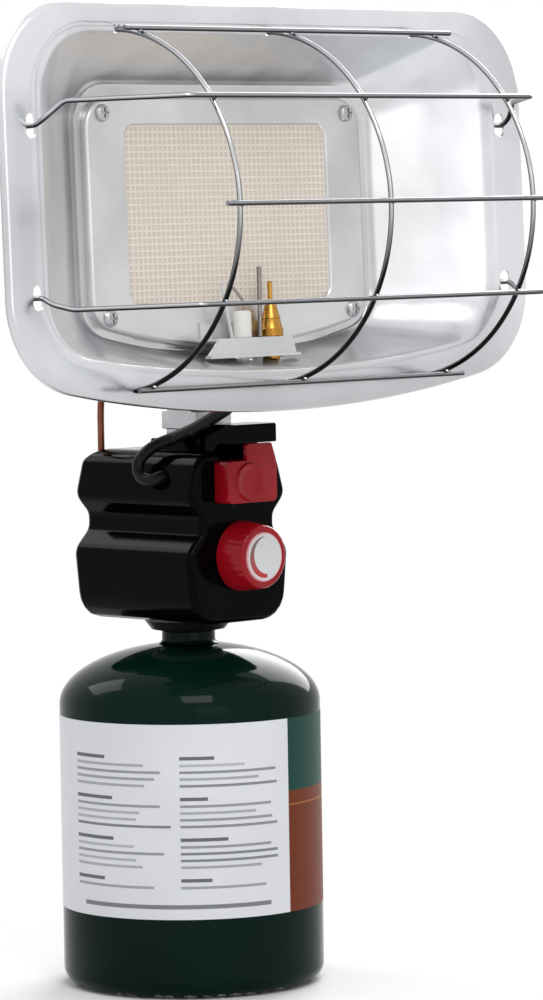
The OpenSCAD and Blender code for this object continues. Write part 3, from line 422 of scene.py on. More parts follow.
def refined(node_name, width, segments=2):
    """A CAD node's own shape with its facets merged and its sharp edges rounded."""
    crease = 38
    mesh = bmesh.new()
    mesh.from_mesh(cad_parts[node_name].data)
    bmesh.ops.remove_doubles(mesh, verts=mesh.verts, dist=2e-6)
    bmesh.ops.dissolve_limit(mesh, angle_limit=radians(0.6), verts=mesh.verts, edges=mesh.edges)
    if width:
        bmesh.ops.recalc_face_normals(mesh, faces=mesh.faces)
    draft = put_in_scene(node_name + "_rough", mesh, crease)
    if width:
        bevel = draft.modifiers.new("edges", "BEVEL")
        bevel.width, bevel.segments = width * mm, segments
        bevel.limit_method, bevel.angle_limit = "ANGLE", radians(crease)
        bevel.use_clamp_overlap = True
    draft.modifiers.new("flat faces", "WEIGHTED_NORMAL").keep_sharp = True
    made = baked(draft)
    bpy.data.objects.remove(draft)
    made.name = node_name
    return linked("refined_" + node_name, made)


rubber = finish("seal rubber", (26, 26, 27), (34, 34, 34), 0.5, 0.7, grain=(1500, 1500, 1500), bump=0.1)
cast_zinc = finish("cast zinc", (70, 66, 62), (96, 92, 88), 0.34, 0.5, patch=70, grain=(700, 700, 700),
                   bump=0.12, metal=1.0)
coil_steel = bare_metal("coil steel", (140, 140, 142), 0.2, 0.34)
coat(rubber, "inlet_gasket", "regulator_diaphragm")
coat(cast_zinc, "valve_body", "regulator_cover")
coat(coil_steel, "regulator_spring", "button_spring")
coat(brass, "gland_nut", "valve_stem", "safety_magnet", "burner_jet")

# ---- Housing ----
# Two halves of glossy black moulded plastic, parted across the middle and held by four long
# screws from the back. The sides are pinched to a waist, so that a hand can turn the heater on.

black_plastic = finish("black plastic", (2, 2, 2), (4, 4, 5), 0.08, 0.15, patch=30, bump=0.012, marks=0.02,
                       specular=0.04)
for half in ("housing_front", "housing_rear"):
    fit(refined(half, 0), "head", "black_plastic", black_plastic, half)
fit(refined("button_hood", 0.5), "head", "black_plastic", black_plastic, "button_hood")
coat(black_plastic, "piezo_igniter")

# ---- Screws ----
# Pan-head screws with a cross recess. Four pull the housing together from the back, four hold
# the burner frame and two the neck bracket.

face_y, face_z, lean = -52.2, 290.05, radians(2)
face_place = Matrix.Translation((0, face_y * mm, face_z * mm)) @ Matrix.Rotation(pi / 2 - lean, 4, "X")
frame_w = -26.0
frame_screw_spots = [(u, v) for u in (-63, 63) for v in (-38, 36)]


def across_face(u, v, w):
    """A place in the reflector's face in metres: u across, v up and w forward, in mm."""
    return face_place @ Vector((u * mm, v * mm, w * mm))


def cut_away(piece, tool):
    """Cuts a tool's shape out of a piece for good, and throws the tool away."""
    cut = piece.modifiers.new("cut", "BOOLEAN")
    cut.object, cut.operation, cut.solver = tool, "DIFFERENCE", "EXACT"
    cut.use_self = True
    data = baked(piece)
    piece.modifiers.clear()
    piece.data = data
    data.set_sharp_from_angle(angle=radians(35))
    bpy.data.objects.remove(tool)


def screw_pattern(name, head_r, head_h, shank_r, shank):
    """One screw, its head up along Z, with a cross cut into the head."""
    outline = [(0, -shank), (shank_r, -shank), (shank_r, 0), (head_r, 0)]
    for turn in map(radians, (15, 32, 50, 68)):
        outline.append((head_r * cos(turn) ** 0.6, head_h * sin(turn)))
    screw = turned(name, outline + [(0, head_h)], steps=32)
    cutter = bmesh.new()
    size = (head_r * 1.15 * mm, head_r * 0.26 * mm, head_h * 1.1 * mm, 1)
    arm = Matrix.Translation((0, 0, head_h * mm)) @ Matrix.Diagonal(size)
    for turn in (0, pi / 2):
        bmesh.ops.create_cube(cutter, size=1, matrix=Matrix.Rotation(turn, 4, "Z") @ arm)
    cut_away(screw, put_in_scene(name + "_cross", cutter))
    return screw


def instances(tree, points, pattern, **others):
    """A pattern object on every point."""
    shape = node(tree, "GeometryNodeObjectInfo", {"Object": pattern}).outputs["Geometry"]
    inputs = {"Points": points, "Instance": shape, **others}
    return node(tree, "GeometryNodeInstanceOnPoints", inputs).outputs[0]


def painted(tree, geometry, material, joint=0.0):
    """Makes instances real, joins points nearer than `joint`, and gives all of it a finish."""
    geometry = node(tree, "GeometryNodeRealizeInstances", {"Geometry": geometry}).outputs[0]
    if joint:
        near = {"Geometry": geometry, "Distance": joint}
        geometry = node(tree, "GeometryNodeMergeByDistance", near).outputs[0]
    finished = {"Geometry": geometry, "Material": material}
    return node(tree, "GeometryNodeSetMaterial", finished).outputs[0]


def scatter_tree():
    """Geometry Nodes: sets a pattern piece on every point, turned as a whole, as one mesh."""
    tree, given = group_tree(
        "set on points", "GeometryNodeTree",
        {"Points": "Geometry", "Pattern": "Object", "Turn": "Rotation", "Finish": "Material"},
        {"Set": "Geometry"})
    placed = instances(tree, given["Points"], given["Pattern"], Rotation=given["Turn"])
    node(tree, "NodeGroupOutput", {"Set": painted(tree, placed, given["Finish"])})
    return tree


def grown(name, source, tree, inputs):
    """Runs a Geometry Nodes tree on an object and keeps the result as a plain mesh piece."""
    modifier = source.modifiers.new("grow", "NODES")
    modifier.node_group = tree
    for item in tree.interface.items_tree:
        if item.in_out == "INPUT" and item.name in inputs:
            modifier[item.identifier] = inputs[item.name]
    data = baked(source)
    bpy.data.objects.remove(source)
    data.name = name
    return linked(name, data)


set_on_points = scatter_tree()


def scattered(name, pattern, places, turn, material):
    """Copies of a pattern piece at places in metres; the pattern itself is thrown away."""
    points = bpy.data.meshes.new(name + "_points")
    points.from_pydata(places, [], [])
    piece = grown(name, linked(name + "_points", points), set_on_points,
                  {"Pattern": pattern, "Turn": turn, "Finish": material})
    bpy.data.objects.remove(pattern)
    return piece


def screws(name, places, turn, cad_node, **sizes):
    """Puts a set of like screws in place of a CAD node."""
    piece = scattered(name, screw_pattern(name + "_pattern", **sizes), places, turn, screw_steel)
    fit(piece, "head", "bare_steel", screw_steel, cad_node)


screw_steel = bare_metal("screw steel", (196, 196, 198), 0.24, 0.38, grain=(500, 500, 500))
housing_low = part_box("housing_front")[0].z / mm
long_head, tab_head_r, tab_head = 2.2, 3.6, 2.4
screw_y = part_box("housing_screws")[1].y / mm - long_head
housing_screw_spots = [(s * x, z) for s in (-1, 1) for x, z in ((19.5, 12.5), (14.6, 41))]
housing_places = [(x * mm, screw_y * mm, (housing_low + z) * mm) for x, z in housing_screw_spots]
screws("housing_screw_set", housing_places, (-pi / 2, 0, 0), "housing_screws",
       head_r=2.6, head_h=long_head, shank_r=1.2, shank=38)
frame_places = [across_face(u, v, frame_w + 0.05) for u, v in frame_screw_spots]
screws("frame_screw_set", frame_places, face_place.to_euler(), "frame_screws",
       head_r=3.2, head_h=1.9, shank_r=1.7, shank=9)
tab_low, tab_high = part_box("bracket_screws")
tab_x = tab_high.x - tab_head_r * mm
bracket_places = [(s * tab_x, (tab_low.y + tab_high.y) / 2, tab_low.z + tab_head * mm) for s in (-1, 1)]
screws("bracket_screw_set", bracket_places, (pi, 0, 0), "bracket_screws",
       head_r=tab_head_r, head_h=tab_head, shank_r=1.95, shank=6)

# ---- Control knob ----
# Moulded in glossy red, slightly conical, with 26 shallow grip flutes that run out to the front
# and a rounded front edge. It is pushed onto the valve stem.

red_plastic = finish("red plastic", (142, 10, 22), (156, 14, 28), 0.12, 0.2, bump=0.015, marks=0.04,
                     specular=0.2)
knob_low, knob_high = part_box("control_knob")
knob_centre = (knob_low + knob_high) / 2
knob_len = (knob_high.y - knob_low.y) / mm
knob_back_r = (knob_high.x - knob_low.x) / 2 / mm
knob_front_r, flutes = 11.7, 26
facing_front = Matrix.Rotation(pi / 2, 4, "X")
knob_place = Matrix.Translation((0, knob_high.y, knob_centre.z)) @ facing_front


def knob_ring(radius, height, flute):
    """One ring of the knob, dented at each flute."""
    def dented(turn):
        return radius - max(0.0, cos(flutes * turn)) ** 2 * flute
    return ring_of(dented, height, flutes * 8)


def fluted_knob():
    """The knob from its back edge to its face, into the dial's seat and back through its bore."""
    dial_r, seat, depth, rounding, bore, skirt = 9.3, 1.0, 0.2, 1.4, 3.05, 7.5
    grow = (knob_back_r - knob_front_r) / knob_len
    rings = [(knob_back_r - 0.6, 0.0, 0.0), (knob_back_r - 0.1, 0.25, 0.0), (knob_back_r - 0.2, 0.9, 0.0)]
    for height, share in ((2.0, 0.0), (3.2, 0.7), (4.5, 1.0), (6.0, 1.0), (8.0, 1.0), (9.8, 1.0)):
        rings.append((knob_back_r - grow * height, height, share * depth))
    for angle in (0, 22, 45, 68, 90):
        turn = radians(angle)
        radius = knob_front_r + 0.1 - rounding * (1 - cos(turn))
        rings.append((radius, knob_len - rounding * (1 - sin(turn)), depth * (1 - angle / 90)))
    floor = knob_len - seat - 0.1
    rings += [(dial_r + 0.25, knob_len, 0.0), (dial_r, knob_len - 0.2, 0.0), (dial_r, floor, 0.0),
              (bore, floor, 0.0), (bore, 3.0, 0.0), (skirt, 3.0, 0.0), (skirt, 0.0, 0.0)]
    return lofted("fluted_knob", [knob_ring(*ring) for ring in rings], knob_place, crease=40)


fit(fluted_knob(), "knob", "red_plastic", red_plastic, "control_knob")

# ---- Dial ----
# A white disc pressed into the knob's face. A red crescent, printed on its left side, narrows as
# the flame gets lower.


def squares(a, b):
    """The sum of two squares."""
    return calc("ADD", product(a, a), product(b, b))


def distance(a, b):
    """How far a place is from where both of its axes are nothing."""
    return calc("SQRT", squares(a, b))


def crescent_print_and_rim_highlight(tree, worked):
    """A red crescent between two circles, and a painted highlight: a pale red ring round the dial's edge."""
    outer_r, inner_r, inner_x, inner_up, right_end = 7.7, 7.0, 1.5, 0.7, 1.2
    where = axes(tree)
    across = product(where["X"], 1000.0)
    up = product(calc("SUBTRACT", where["Z"], knob_centre.z), 1000.0)
    centred = distance(across, up)
    aside = distance(calc("SUBTRACT", across, inner_x), calc("SUBTRACT", up, inner_up))
    band = product(calc("LESS_THAN", centred, outer_r), calc("GREATER_THAN", aside, inner_r))
    crescent = product(band, calc("LESS_THAN", across, right_end))
    crescent_color = mixed(between(up, -6.5, 4.0), tone(186, 30, 40), tone(120, 96, 96))
    printed = mixed(crescent, worked["Color"], crescent_color)
    # Painted highlight: a pale red ring at the dial's edge.
    ring = product(inside(centred, 8.5, 9.6), 0.8)
    return {"Base Color": mixed(ring, printed, tone(222, 150, 154))}


dial_plastic = finish("dial print", (208, 208, 210), (215, 215, 217), 0.28, 0.4, patch=90, marks=0.05,
                      detail=crescent_print_and_rim_highlight)
dial_back = Vector((0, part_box("knob_dial")[1].y, knob_centre.z))
dial_outline = [(0, 0), (9.2, 0), (9.2, 0.8), (9.0, 1.1), (8.6, 1.2), (0, 1.2)]
dial = turned("dial", dial_outline, Matrix.Translation(dial_back) @ facing_front)
fit(dial, "knob", "dial_plastic", dial_plastic, "knob_dial")

# ---- Ignition button ----
# A red button with a round thumb pad and a tongue under the hood. Pressed in, it pushes the
# safety valve's plunger and the striker of the piezo igniter at once.

button_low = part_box("ignition_button")[0]
pad_x, pad_up = -2.0, 7.8
pad_middle = Vector((pad_x * mm, button_low.y, button_low.z + pad_up * mm))
dish_outline = [(0, -0.8), (3, -0.74), (4.6, -0.6), (5.3, -0.4), (5.6, 0), (5.7, 1), (0, 1)]
dish = turned("thumb_dish", dish_outline, Matrix.Translation(pad_middle) @ facing_front)
button = refined("ignition_button", width=1.4, segments=4)
cut_away(button, dish)
fit(button, "button", "red_plastic", red_plastic, "ignition_button")
coat(screw_steel, "button_plunger")
striker_plastic = finish("striker plastic", (205, 203, 196), (214, 212, 205), 0.35, 0.5)
coat(striker_plastic, "piezo_striker")

# ---- Ignition cable and copper lead ----
# The spark cable has a thick black silicone sleeve and leaves the housing on its left side. The
# bare copper lead of the safety device rises from the back, round to the pilot.


def wire_tree():
    """Geometry Nodes: a round wire along a curve, its ends closed."""
    tree, given = group_tree(
        "drawn wire", "GeometryNodeTree",
        {"Path": "Geometry", "Radius": "Float", "Sides": "Int", "Finish": "Material"}, {"Wire": "Geometry"})
    section = node(tree, "GeometryNodeCurvePrimitiveCircle",
                   {"Resolution": given["Sides"], "Radius": given["Radius"]}).outputs["Curve"]
    sweep = {"Curve": given["Path"], "Profile Curve": section, "Fill Caps": True}
    swept = node(tree, "GeometryNodeCurveToMesh", sweep).outputs[0]
    node(tree, "NodeGroupOutput", {"Wire": painted(tree, swept, given["Finish"])})
    return tree


drawn_wire = wire_tree()


def wire(name, points, radius, material, sides=16):
    """A wire through points in metres."""
    curve = bpy.data.curves.new(name + "_path", "CURVE")
    curve.dimensions = "3D"
    spline = curve.splines.new("POLY")
    spline.points.add(len(points) - 1)
    for spot, p in zip(spline.points, points):
        spot.co = (*p, 1)
    piece = grown(name, linked(name + "_path", curve), drawn_wire,
                  {"Radius": radius * mm, "Sides": sides, "Finish": material})
    piece.data.shade_smooth()
    piece.data.set_sharp_from_angle(angle=radians(50))
    return piece


def bend(a, b, c, steps):
    """Points on a soft bend from a to c round b."""
    a, b, c = Vector(a), Vector(b), Vector(c)
    shares = [k / steps for k in range(steps + 1)]
    return [a * (1 - t) ** 2 + b * 2 * t * (1 - t) + c * t * t for t in shares]


def smooth_route(route):
    """A curve that starts and ends on the route and is led by the points between."""
    spots = [Vector(p) * mm for p in route]
    last = len(spots) - 1
    points = [spots[0]]
    for i in range(1, last):
        a = spots[0] if i == 1 else (spots[i - 1] + spots[i]) / 2
        c = spots[last] if i == last - 1 else (spots[i] + spots[i + 1]) / 2
        points += bend(a, spots[i], c, 8)[1:]
    return points


cable_r, lead_r = 2.3, 1.3
cable_route = [
    (8, 14.2, 193.4), (8, 19, 193.4), (5, 25, 193), (-6, 27, 192), (-14, 24, 190.5), (-17.5, 15, 190),
    (-17.5, 2, 190), (-17.5, -9, 191), (-20, -11.5, 191.5), (-24, -11.5, 191.5), (-26.5, -9.5, 190),
    (-27, -5, 190.5), (-27, -2.4, 193.5), (-26.5, -2.4, 197.5), (-23.5, -5, 201.5), (-19, -7, 203.8),
    (-15.5, -12, 206), (-14.5, -23, 210), (-14, -30, 213.5), (-13, -37, 217), (-10, -40, 222),
    (-5, -38.5, 225), (-2, -35.5, 228), (-2, -34.1, 231.3)]
lead_route = [
    (-2, 24.4, 186.4), (-2, 28, 186.4), (-7, 30.2, 187.5), (-13, 30.2, 190.5), (-15, 30, 196), (-15, 30, 206),
    (-15, 30, 216), (-15.5, 28, 225), (-16.5, 18, 229), (-17, 4, 229), (-17, -8, 229), (-14, -18, 228),
    (-4, -24, 227), (7, -28, 226), (13, -33, 227), (13, -34.1, 232)]
sleeve = finish("cable sleeve", (8, 8, 9), (14, 14, 15), 0.3, 0.42, grain=(1500, 1500, 1500), bump=0.05,
                specular=0.16)
copper = finish("copper", (96, 56, 40), (132, 82, 62), 0.26, 0.42, patch=70, grain=(900, 900, 1800),
                bump=0.05, metal=1.0)
cable = wire("spark_cable", smooth_route(cable_route), cable_r, sleeve, sides=24)
fit(cable, "head", "cable_sleeve", sleeve, "ignition_cable")
lead = wire("safety_lead", smooth_route(lead_route), lead_r, copper, sides=20)
fit(lead, "head", "copper", copper, "copper_lead")

# ---- Neck ----
# The mixing tube stands on the jet and draws air in through its side holes. A square bracket of
# plated sheet round it carries the burner on two tabs.

plated_sheet = bare_metal("plated sheet", (186, 187, 190), 0.24, 0.38, grain=(260, 1500, 260), bump=0.04)
for name in ("mixing_tube", "neck_bracket"):
    fit(refined(name, 0.25), "head", "frame_steel", plated_sheet, name)

# ---- Reflector ----
# One pressed sheet of bright steel: a rolled edge, a flat flange, a deep bowl and a flat back pan
# with the burner's opening. Holes for the guard are punched in the flange.

sheet, bead_r, pan_w = 0.8, 2.2, -29.0
rim = (134.0, 74.0, 74.3, 583.0, 34.0)
bead_line = tuple(c - bead_r for c in rim)
mouth = (117.0, 65.0, 59.0, 683.0, 24.0)
pan = (76.0, 47.0, 52.5, 270.0, 16.0)
opening = (58.0, 38.1, 39.8, 2000.0, 5.0)
hoop_places = (-76.0, 0.0, 76.0)
hoop_foot = 64.0
slot_u, slot_v = 121.0, 30.0
pilot_u, spark_u, pilot_w = 13.0, -2.0, -20.1


def bowed_outline(shape):
    """A closed outline from half width, top, bottom, radius of the bowed bottom and of the corners."""
    half, top, bottom, bow, corner = shape
    steps, side = 12, half - corner
    reach = sqrt((bow - corner) ** 2 - side ** 2)
    low = bow - bottom - reach
    turn = degrees(atan2(side, reach))
    outline = arc((side, top - corner), corner, 0, 90, steps)
    outline += [(side - 2 * side * k / steps, top) for k in range(1, steps)]
    outline += arc((-side, top - corner), corner, 90, 180, steps)
    outline += arc((-side, low), corner, 180, 270 - turn, steps)
    outline += arc((0, bow - bottom), bow, 270 - turn, 270 + turn, 2 * steps)[1:-1]
    return outline + arc((side, low), corner, 270 + turn, 360, steps)


def pressed(name, rings):
    """A closed sheet in the reflector's face, through rings of (shape, depth)."""
    outlines = [[(u, v, depth) for u, v in bowed_outline(shape)] for shape, depth in rings]
    return lofted(name, outlines, face_place)


def wider(shape, amount):
    """A shape grown all round."""
    return tuple(c + amount for c in shape)


def shape_at(position):
    """0 is the rolled edge, 1 the bowl's mouth, 2 the edge of the back pan, 3 the opening."""
    shapes = (bead_line, mouth, pan, opening)
    first = min(int(position), 2)
    share = position - first
    return tuple(p + (q - p) * share for p, q in zip(shapes[first], shapes[first + 1]))


def reflector_rings():
    """From the opening out along the front, round the rolled edge, and back in behind."""
    face = [(3.0, pan_w)] + bend((2.15, pan_w), (2.0, pan_w), (1.92, 0.92 * pan_w), 7)
    face += [(s, (s - 1) * pan_w) for s in (1.92 - 0.8 * k / 6 for k in range(1, 6))]
    face += bend((1.12, 0.12 * pan_w), (1.0, 0.0), (0.7, 0.0), 8) + [(0.35, 0.0), (0.0, 0.0)]
    rings = [(shape_at(s), w) for s, w in face]
    for turn in map(radians, range(70, -231, -20)):
        rings.append((wider(bead_line, bead_r * cos(turn)), bead_r * (sin(turn) - 1)))
    rings += [(wider(shape_at(s), 0.6 * sheet), w - sheet) for s, w in reversed(face[1:-1])]
    return rings + [(opening, pan_w - sheet)]


def punch(piece, cutters):
    """Cuts a set of shapes out of a piece."""
    mesh = bmesh.new()
    for cutter in cutters:
        cutter(mesh)
    cut_away(piece, put_in_scene(piece.name + "_punch", mesh))


def in_face(u, v, w):
    """Moves a shape to a place in the reflector's face: u across, v up and w forward, in mm."""
    return face_place @ Matrix.Translation((u * mm, v * mm, w * mm))


def round_hole(u, v, w, radius, length, turn=0.0):
    """A round punch at a place in the face; `turn` lays it over towards v."""
    size = {"radius1": radius * mm, "radius2": radius * mm, "depth": length * mm}
    place = in_face(u, v, w) @ Matrix.Rotation(turn, 4, "X")
    return lambda mesh: bmesh.ops.create_cone(mesh, cap_ends=True, segments=32, matrix=place, **size)


def long_hole(u, v, w, wide, high, deep):
    """Punches for one upright slot with round ends."""
    middle = high - wide
    place = in_face(u, v, w) @ Matrix.Diagonal((wide * mm, middle * mm, deep * mm, 1))
    ends = [round_hole(u, v + side * middle / 2, w, wide / 2, deep) for side in (-1, 1)]
    return [lambda mesh: bmesh.ops.create_cube(mesh, size=1, matrix=place)] + ends


def facing(tree):
    """0 where the surface looks at the eye, 1 at its outline."""
    return node(tree, "ShaderNodeLayerWeight", {"Blend": 0.5}).outputs["Facing"]


def polished_rolled_and_painted_shade(tree, worked):
    """Steel polished in front and left as rolled behind, a little browned by heat near the burner,
    with painted shade towards its lower edge and a painted dark reflection round its outline in front.
    """
    heat_middle, heat_half_width, heat_half_height = 0.29, 0.105, 0.066
    shade_top, shade_low = 0.238, 0.217
    where = axes(tree)
    drawn = {"Vector": coordinates(tree), "Scale": (26, 26, 9), "Rotation": (0.2, 0.3, 0)}
    folds = noise(tree, 1.0, 1.5, node(tree, "ShaderNodeMapping", drawn).outputs[0])
    wavy = {"Height": folds, "Strength": 0.6, "Distance": 0.004, "Normal": tree.nodes["relief"].outputs[0]}
    across = calc("DIVIDE", where["X"], heat_half_width)
    up = calc("DIVIDE", calc("SUBTRACT", where["Z"], heat_middle), heat_half_height)
    heat = between(squares(across, up), 0.4, 1.1, 0.35, 0.0)
    warm = node(tree, "ShaderNodeMix", {0: heat, 6: worked["Color"], 7: tone(190, 178, 166)},
                data_type="RGBA", blend_type="MULTIPLY").outputs[2]
    # Painted shade: the sheet darker towards its lower edge.
    lower_shade = between(where["Z"], shade_top, shade_low, 0.0, 0.6)
    lower_shade = mixed(lower_shade, warm, tone(158, 159, 161))
    # Painted reflection: the front darker where it turns away from the eye, a dark line round its outline.
    painted_dark_outline = mixed(between(facing(tree), 0.84, 1.0, 0.0, 0.8), lower_shade, tone(96, 98, 102))
    behind = between(axes(tree, "Normal")["Y"], -0.05, 0.3)
    rolled = mixed(worked["Height"], tone(158, 160, 164), tone(186, 188, 191))
    rough = calc("ADD", worked["Roughness"], product(behind, 0.12))
    return {"Base Color": mixed(behind, painted_dark_outline, rolled), "Roughness": rough,
            "Normal": node(tree, "ShaderNodeBump", wavy).outputs[0]}


reflector_steel = finish("bright steel", (202, 203, 206), (226, 228, 231), 0.21, 0.27, patch=16,
                         grain=(420, 420, 1600), bump=0.004, marks=0.0, metal=0.94,
                         detail=polished_rolled_and_painted_shade)
reflector = pressed("reflector_bowl", reflector_rings())
punches = [round_hole(u, s * hoop_foot, -2, radius=1.25, length=12) for u in hoop_places for s in (-1, 1)]
for u in (-slot_u, slot_u):
    for v in (-slot_v, slot_v):
        punches += long_hole(u, v, -1, wide=4.9, high=9, deep=8)
punches += [round_hole(u, v, pan_w, radius=2, length=8) for u, v in frame_screw_spots]
for u in (spark_u, pilot_u):
    punches.append(round_hole(u, -57, pilot_w, radius=4, length=25, turn=pi / 2))
punch(reflector, punches)
fit(reflector, "head", "reflector_steel", reflector_steel, "reflector")

# ---- Burner ----
# A fired ceramic plaque with a close field of gas holes, packed round with fibre and held between
# the mixing chamber behind and a pressed steel frame in front.

plaque_w, hole_pitch = -27.0, 2.4
plaque_half, plaque_top, plaque_bottom = 55.0, 35.1, 36.8


def gas_hole_cell(pitch, share, depth):
    """One square of the plaque's face with its gas hole, a share of the square's width."""
    taper = 0.86
    mesh = bmesh.new()
    in_hole = mesh.verts.layers.float.new("in_hole")

    def square(size, height):
        """Eight corners of a square, a size of the whole one."""
        half = size * pitch / 2
        return ring_of(lambda turn: half / max(abs(cos(turn)), abs(sin(turn))), height, 8)

    floor = skin(mesh, [square(1, 0), square(share, 0), square(share * taper, -depth)], closed=False)[-1]
    for vert in floor:
        vert[in_hole] = 1.0
    mesh.faces.new(floor)
    bmesh.ops.recalc_face_normals(mesh, faces=mesh.faces)
    if sum(f.normal.z for f in mesh.faces) < 0:
        bmesh.ops.reverse_faces(mesh, faces=mesh.faces)
    return put_in_scene("gas_hole_cell", mesh, 30)


def cell_field_tree():
    """Geometry Nodes: a grid of one cell, repeated edge to edge and joined."""
    tree, given = group_tree(
        "field of cells", "GeometryNodeTree",
        {"Start": "Geometry", "Cell": "Object", "Columns": "Int", "Rows": "Int", "Width": "Float",
         "Height": "Float", "Finish": "Material"}, {"Field": "Geometry"})
    size = {"Size X": given["Width"], "Size Y": given["Height"], "Vertices X": given["Columns"],
            "Vertices Y": given["Rows"]}
    corners = node(tree, "GeometryNodeMeshGrid", size).outputs["Mesh"]
    laid = instances(tree, corners, given["Cell"])
    node(tree, "NodeGroupOutput", {"Field": painted(tree, laid, given["Finish"], joint=1e-5)})
    return tree


def painted_hole_shade(tree, worked):
    """Painted shade: the ceramic a little darker inside its holes."""
    deep = node(tree, "ShaderNodeAttribute", attribute_name="in_hole").outputs["Fac"]
    # Painted shade on the hole floors.
    return {"Base Color": mixed(deep, worked["Color"], tone(222, 210, 197))}


ceramic = finish("fired ceramic", (238, 229, 219), (243, 235, 226), 0.75, 0.9, patch=50,
                 grain=(1200, 1200, 1200), bump=0.1, marks=0.05, detail=painted_hole_shade)
columns = int(2 * plaque_half / hole_pitch)
rows = int((plaque_top + plaque_bottom) / hole_pitch)
cell = gas_hole_cell(hole_pitch, share=0.76, depth=0.2)
start = linked("plaque_start", bpy.data.meshes.new("plaque_start"))
field = grown("plaque_face", start, cell_field_tree(),
              {"Cell": cell, "Columns": columns, "Rows": rows, "Width": (columns - 1) * hole_pitch * mm,
               "Height": (rows - 1) * hole_pitch * mm, "Finish": ceramic})
bpy.data.objects.remove(cell)
field_half, field_high = columns * hole_pitch / 2, rows * hole_pitch / 2
middle = (plaque_top - plaque_bottom) / 2


def plaque_body():
    """The plaque's solid: a block behind the holes, and a plain border round them."""
    behind, block_deep, border_deep = 6.6, 10.8, 1.4
    mesh = bmesh.new()
    size = (2 * plaque_half * mm, (plaque_top + plaque_bottom) * mm, block_deep * mm, 1)
    block = Matrix.Translation((0, middle * mm, (plaque_w - behind) * mm)) @ Matrix.Diagonal(size)
    bmesh.ops.create_cube(mesh, size=1, matrix=block)
    outer = (plaque_half, -plaque_bottom, plaque_top)
    inner = (field_half, middle - field_high, middle + field_high)
    rings = []
    for (half, low, high), depth in ((outer, border_deep), (outer, 0), (inner, 0), (inner, border_deep)):
        w = plaque_w - depth
        rings.append([(-half, low, w), (half, low, w), (half, high, w), (-half, high, w)])
    skin(mesh, rings)
    mesh.transform(face_place)
    return put_in_scene("plaque_block", mesh)


field.data.transform(in_face(0, middle, plaque_w))
fit(plaque_body(), "head", "ceramic", ceramic, "burner_plaque")
fit(field, "head", "ceramic", ceramic)
fibre = finish("fibre packing", (205, 203, 196), (226, 224, 218), 0.8, 0.95, patch=120, bump=0.3)
coat(fibre, "plaque_gasket")

frame_outer = (71.0, 42.0, 50.0, 253.0, 12.0)
window = (51.7, 31.8, 33.5, 2000.0, 4.5)


def frame_rings():
    """The pressed frame: a skirt, a rounded edge, a flat face and a turned-in window lip."""
    edge_r, lip_r, lip, skirt_w = 1.6, 1.2, 0.95, pan_w + 0.05
    rings = [(frame_outer, skirt_w)]
    rings += [(wider(frame_outer, -edge_r * (1 - c)), frame_w - edge_r * (1 - s))
              for c, s in arc((0, 0), 1, 0, 90, 6)]
    rings += [(wider(window, lip_r * (1 - s)), frame_w - lip_r * (1 - c))
              for c, s in arc((0, 0), 1, 0, 75, 5)]
    rings += [(window, frame_w - lip), (wider(window, sheet), frame_w - lip)]
    inner = wider(frame_outer, -sheet)
    return rings + [(wider(inner, -1.2), frame_w - sheet), (inner, frame_w - 1.9), (inner, skirt_w)]


frame_steel = bare_metal("frame steel", (218, 218, 218), 0.3, 0.44, patch=24, grain=(140, 1500, 1500),
                         bump=0.03)
burner_frame = pressed("burner_frame_pressing", frame_rings())
punch(burner_frame, [round_hole(u, v, frame_w, radius=2, length=8) for u, v in frame_screw_spots])
fit(burner_frame, "head", "frame_steel", frame_steel, "burner_frame")
fit(refined("burner_chamber", 0.6), "head", "frame_steel", plated_sheet, "burner_chamber")

# ---- Pilot ----
# A bent bracket under the plaque holds a brass pilot, the thermocouple that senses its flame and
# a spark electrode in a glazed ceramic sleeve.

shelf_v = -47.0


def on_shelf(name, outline, u):
    """A turned piece that stands up on the bracket's shelf, its heights counted from there."""
    return turned(name, outline, in_face(u, shelf_v, pilot_w) @ Matrix.Rotation(-pi / 2, 4, "X"), 48)


def eased(points, reach, steps=6):
    """A path whose corners are rounded over a distance."""
    path = [points[0]]
    for before, spot, after in zip(points, points[1:], points[2:]):
        start = spot + (before - spot).normalized() * reach
        path += bend(start, spot, spot + (after - spot).normalized() * reach, steps)
    return path + [points[-1]]


def shelf_wire(name, route, reach, radius, cad_node):
    """A bare wire up from the shelf, through places of (u, height over the shelf)."""
    points = [across_face(u, shelf_v + height, pilot_w) for u, height in route]
    piece = wire(name, eased(points, reach * mm), radius, probe_steel)
    fit(piece, "head", "bare_steel", probe_steel, cad_node)


fit(refined("pilot_bracket", 0.2), "head", "frame_steel", frame_steel, "pilot_bracket")
fitting_outline = [
    (0, -10), (3, -10), (3, 0.05), (4.2, 0.05), (4.4, 0.3), (4.4, 2.8), (4.1, 3.2), (3.4, 6.5), (3.6, 6.9),
    (3.2, 7.6), (2.25, 11.5), (1.2, 12.8), (0.9, 13.4), (0.9, 20.2), (0.6, 20.5), (0, 20.5)]
fit(on_shelf("pilot_jet", fitting_outline, pilot_u), "head", "brass", brass, "pilot_fitting")
glazed = finish("glazed ceramic", (232, 231, 226), (240, 239, 235), 0.12, 0.25, marks=0.05)
insulator_outline = [
    (0, -10), (2.1, -10), (2.25, -9.7), (2.25, 0.05), (3.2, 0.05), (3.4, 0.3), (3.4, 9), (3.2, 9.6),
    (2.6, 10), (0, 10)]
insulator = on_shelf("spark_insulator", insulator_outline, spark_u)
fit(insulator, "head", "white_ceramic", glazed, "electrode_insulator")
probe_steel = bare_metal("probe steel", (158, 150, 144), 0.3, 0.5)
probe_route = [(pilot_u - 6, 0.3), (pilot_u - 5.6, 12), (pilot_u - 5.2, 26)]
shelf_wire("flame_probe", probe_route, reach=4, radius=0.9, cad_node="thermocouple")
spark_route = [(spark_u + 1, 10.05), (spark_u + 1, 13.5), (spark_u - 4, 18.5)]
